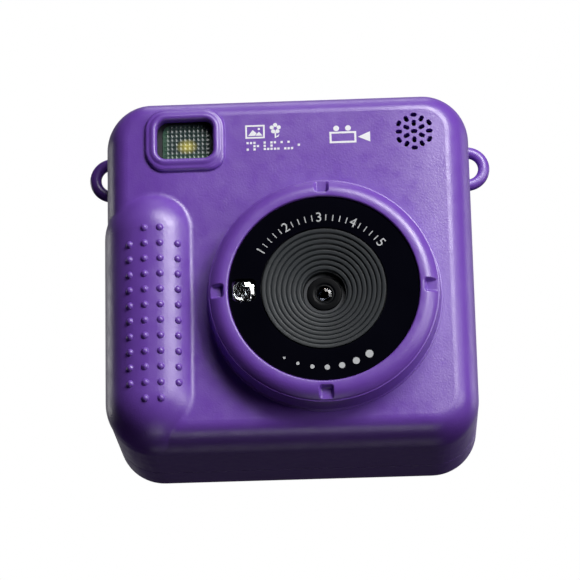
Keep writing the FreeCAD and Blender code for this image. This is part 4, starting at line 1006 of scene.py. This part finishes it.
def face_marks():
    """Plain pictograms where such cameras carry print: picture, close-up, film and a strip of pixels."""
    level = middle("flash_window").z
    shapes = picture_icon(x=-7.6, z=level + 2.0, width=4.8, height=3.5)
    shapes += flower_icon(x=-2.6, z=level + 2.0, size=3.5)
    shapes += pixel_strip(x0=-9.9, x1=4.9, z0=level - 3.0, z1=level - 0.3)
    shapes += film_icon(x=15.7, z=level + 0.6, width=10.0, height=4.8)
    make_mesh("face_marks", raised(shapes, FACE_Y), FACE_INK, smooth_angle=MARK_ANGLE)


def key_marks():
    """Arrow heads on the arrow keys, three bars for the menu, a triangle for playback and a dot for OK."""
    for node, (body, turn) in KEY_ARROWS.items():
        mark_key(node, body, [placed(ARROW_HEAD, 0, 0, math.radians(turn))])
    mark_key("key_menu", "menu_key", [bar(3.4, 0.5, 0, step) for step in (-1.2, 0.0, 1.2)])
    mark_key("key_play", "play_key", [placed(ARROW_HEAD, -0.2, 0, math.pi, 1.5)])
    mark_key("key_ok", "ok_key", [disc(0.8)])


def mark_key(node, body, polygons):
    """Prints shapes, drawn about 0, 0, on the back of a key."""
    centre, back = middle(node), corners(node)[1].y
    shapes = [placed(polygon, centre.x, centre.z) for polygon in polygons]
    make_mesh(node + "_mark", raised(shapes, back, side=1), FACE_INK, body, MARK_ANGLE)


def power_mark():
    """An open ring with a bar in its gap, on top of the power button."""
    centre, top = middle("power_button"), corners("power_button")[1].z
    radius, line, gap = 1.5, 0.36, math.radians(38)
    inner, outer = radius - line / 2, radius + line / 2
    sweep = 2 * math.pi - 2 * gap
    polygons = [bar(line, 1.5, 0, radius - 0.2)]
    steps = 24
    for step in range(steps):
        start, end = (math.pi / 2 + gap + sweep * (step + share) / steps for share in (0, 1))
        polygons.append([(reach * math.cos(angle), reach * math.sin(angle))
                         for reach, angle in ((inner, start), (outer, start), (outer, end), (inner, end))])
    points, faces = raised(polygons, 0)
    points = [(centre.x - x, centre.y + z, top - y) for x, y, z in points]
    make_mesh("power_mark", (points, faces), FACE_INK, "power", MARK_ANGLE)


# ---- the stage ----
TARGET = Vector((0, 0, 45))
BOX_SIZE = 340.0
BOX_DISTANCE = 900.0
BOXES = (
    ("key_box", 36, 30, 5.4),
    ("key_low_box", 36, 8, 1.3),
    ("side_box", 62, 0, 1.6),
    ("high_box", 14, 42, 3.0),
    ("top_box", 0, 82, 0.3),
    ("rear_top_box", 180, 72, 0.7),
    ("rear_box", 180, 15, 0.5),
    ("rear_right_box", 125, 10, 0.45),
    ("rear_left_box", -125, 10, 0.65),
    ("low_box", 0, -75, 0.45),
    ("rear_low_box", 180, -45, 0.08),
)                                       # azimuth and elevation in degrees, and watts
FLOOR_RADIUS = 1500.0
FLOOR_SIDES = 96
FLOOR_DROP = 0.3


def toward(azimuth, elevation):
    """A direction: azimuth 0 is straight in front of the lens and turns toward +X."""
    a, e = math.radians(azimuth), math.radians(elevation)
    return Vector((math.sin(a) * math.cos(e), -math.cos(a) * math.cos(e), math.sin(e)))


def studio_lights():
    """Soft boxes that face the object: the strongest at the upper right, and weaker ones over, behind and
    below for the edges."""
    for name, azimuth, elevation, watts in BOXES:
        direction = toward(azimuth, elevation)
        data = bpy.data.lights.new(name, "AREA")
        data.shape = "RECTANGLE"
        data.size, data.size_y = BOX_SIZE * MM, BOX_SIZE * MM
        data.energy = watts
        light = bpy.data.objects.new(name, data)
        light.location = TARGET * MM + direction * BOX_DISTANCE * MM
        light.rotation_mode = "QUATERNION"
        light.rotation_quaternion = direction.to_track_quat("Z", "Y")
        light.visible_camera = False
        bpy.context.scene.collection.objects.link(light)


def world_light():
    """White behind the object for the lens; for the light itself, bright behind, dark in front and below."""
    world = bpy.data.worlds.new("studio")
    bpy.context.scene.world = world
    world.use_nodes = True
    graph = Graph(world.node_tree)
    way = graph.node("ShaderNodeTexCoord").outputs["Generated"]
    parts = graph.node("ShaderNodeSeparateXYZ", Vector=way)
    depth = graph.span(parts.outputs["Y"], 0.3, 0.95, 0.0, 0.35, kind="SMOOTHSTEP")
    height = graph.span(parts.outputs["Z"], -0.22, 0.15, 0.0, 1.0, kind="SMOOTHSTEP")
    room = graph.node("ShaderNodeBackground")
    graph.feed(room.inputs["Strength"], graph.math("MULTIPLY", depth, height))
    white = graph.node("ShaderNodeBackground", Color=(1, 1, 1, 1))
    seen = graph.node("ShaderNodeLightPath").outputs["Is Camera Ray"]
    output = graph.node("ShaderNodeOutputWorld")
    graph.feed(output.inputs[0], graph.blend(seen, room, white))


def floor():
    """A plain pale floor. It shows only from above, and lets the light for the object through."""
    mesh = bpy.data.meshes.new("floor")
    points = [Vector((x, y, 0)) * MM for x, y in disc(FLOOR_RADIUS, FLOOR_SIDES)]
    mesh.from_pydata(points, [], [list(range(FLOOR_SIDES))])
    mesh.materials.append(floor_card())
    made = bpy.data.objects.new("floor", mesh)
    made.location.z = -FLOOR_DROP * MM
    bpy.context.scene.collection.objects.link(made)


def floor_card():
    """Pale card that fades to white away from the object. It is clear from below, and to all but the lens."""
    made = Recipe("floor_card")
    speck = made.noise(1.5)
    made.set(Base_Color=made.mix(speck, colour(236, 236, 238), colour(228, 228, 231)),
             Roughness=made.drift(speck, 0.6, 0.75), Normal=made.bump(speck, 0.02))
    away = made.node("ShaderNodeVectorMath", operation="LENGTH", Vector=made.position).outputs["Value"]
    white = made.node("ShaderNodeEmission", Color=(1, 1, 1, 1))
    faded = made.blend(made.span(away, 150, 500), made.shader, white)
    above = made.math("SUBTRACT", 1.0, made.node("ShaderNodeNewGeometry").outputs["Backfacing"])
    seen = made.math("MULTIPLY", made.node("ShaderNodeLightPath").outputs["Is Camera Ray"], above)
    clear = made.node("ShaderNodeBsdfTransparent")
    made.feed(made.output.inputs[0], made.blend(seen, clear, faded))
    return made.material


def camera():
    """The photo's viewpoint: in front, below the lens axis and a little to the +X side."""
    below, sideways, roll = math.radians(16.68), math.radians(1.863), math.radians(1.283)
    distance, focal = 720.0, 179.16
    look_at = Vector((0, -2, 45))
    shift_right, shift_up = 0.476, 1.192
    back = Vector((math.sin(sideways) * math.cos(below), -math.cos(sideways) * math.cos(below),
                   -math.sin(below)))
    right = (-back).cross(Vector((0, 0, 1))).normalized()
    up = right.cross(-back)
    tilted_right = right * math.cos(roll) - up * math.sin(roll)
    tilted_up = right * math.sin(roll) + up * math.cos(roll)
    data = bpy.data.cameras.new("photo_view")
    data.sensor_width = 36.0
    data.lens = focal
    data.clip_start, data.clip_end = 0.05, 10.0
    made = bpy.data.objects.new("photo_view", data)
    place = look_at + back * distance - tilted_right * shift_right - tilted_up * shift_up
    turn = Matrix((tilted_right, tilted_up, back)).transposed().to_4x4()
    made.matrix_world = Matrix.Translation(place * MM) @ turn
    bpy.context.scene.collection.objects.link(made)
    bpy.context.scene.camera = made


paint_cad_nodes()
lens_ring()
lens_cone()
lens_barrel()
flash_window()
assist_window()
panel_marks()
face_marks()
key_marks()
power_mark()
studio_lights()
world_light()
floor()
camera()
bpy.context.scene.view_settings.view_transform = "Standard"
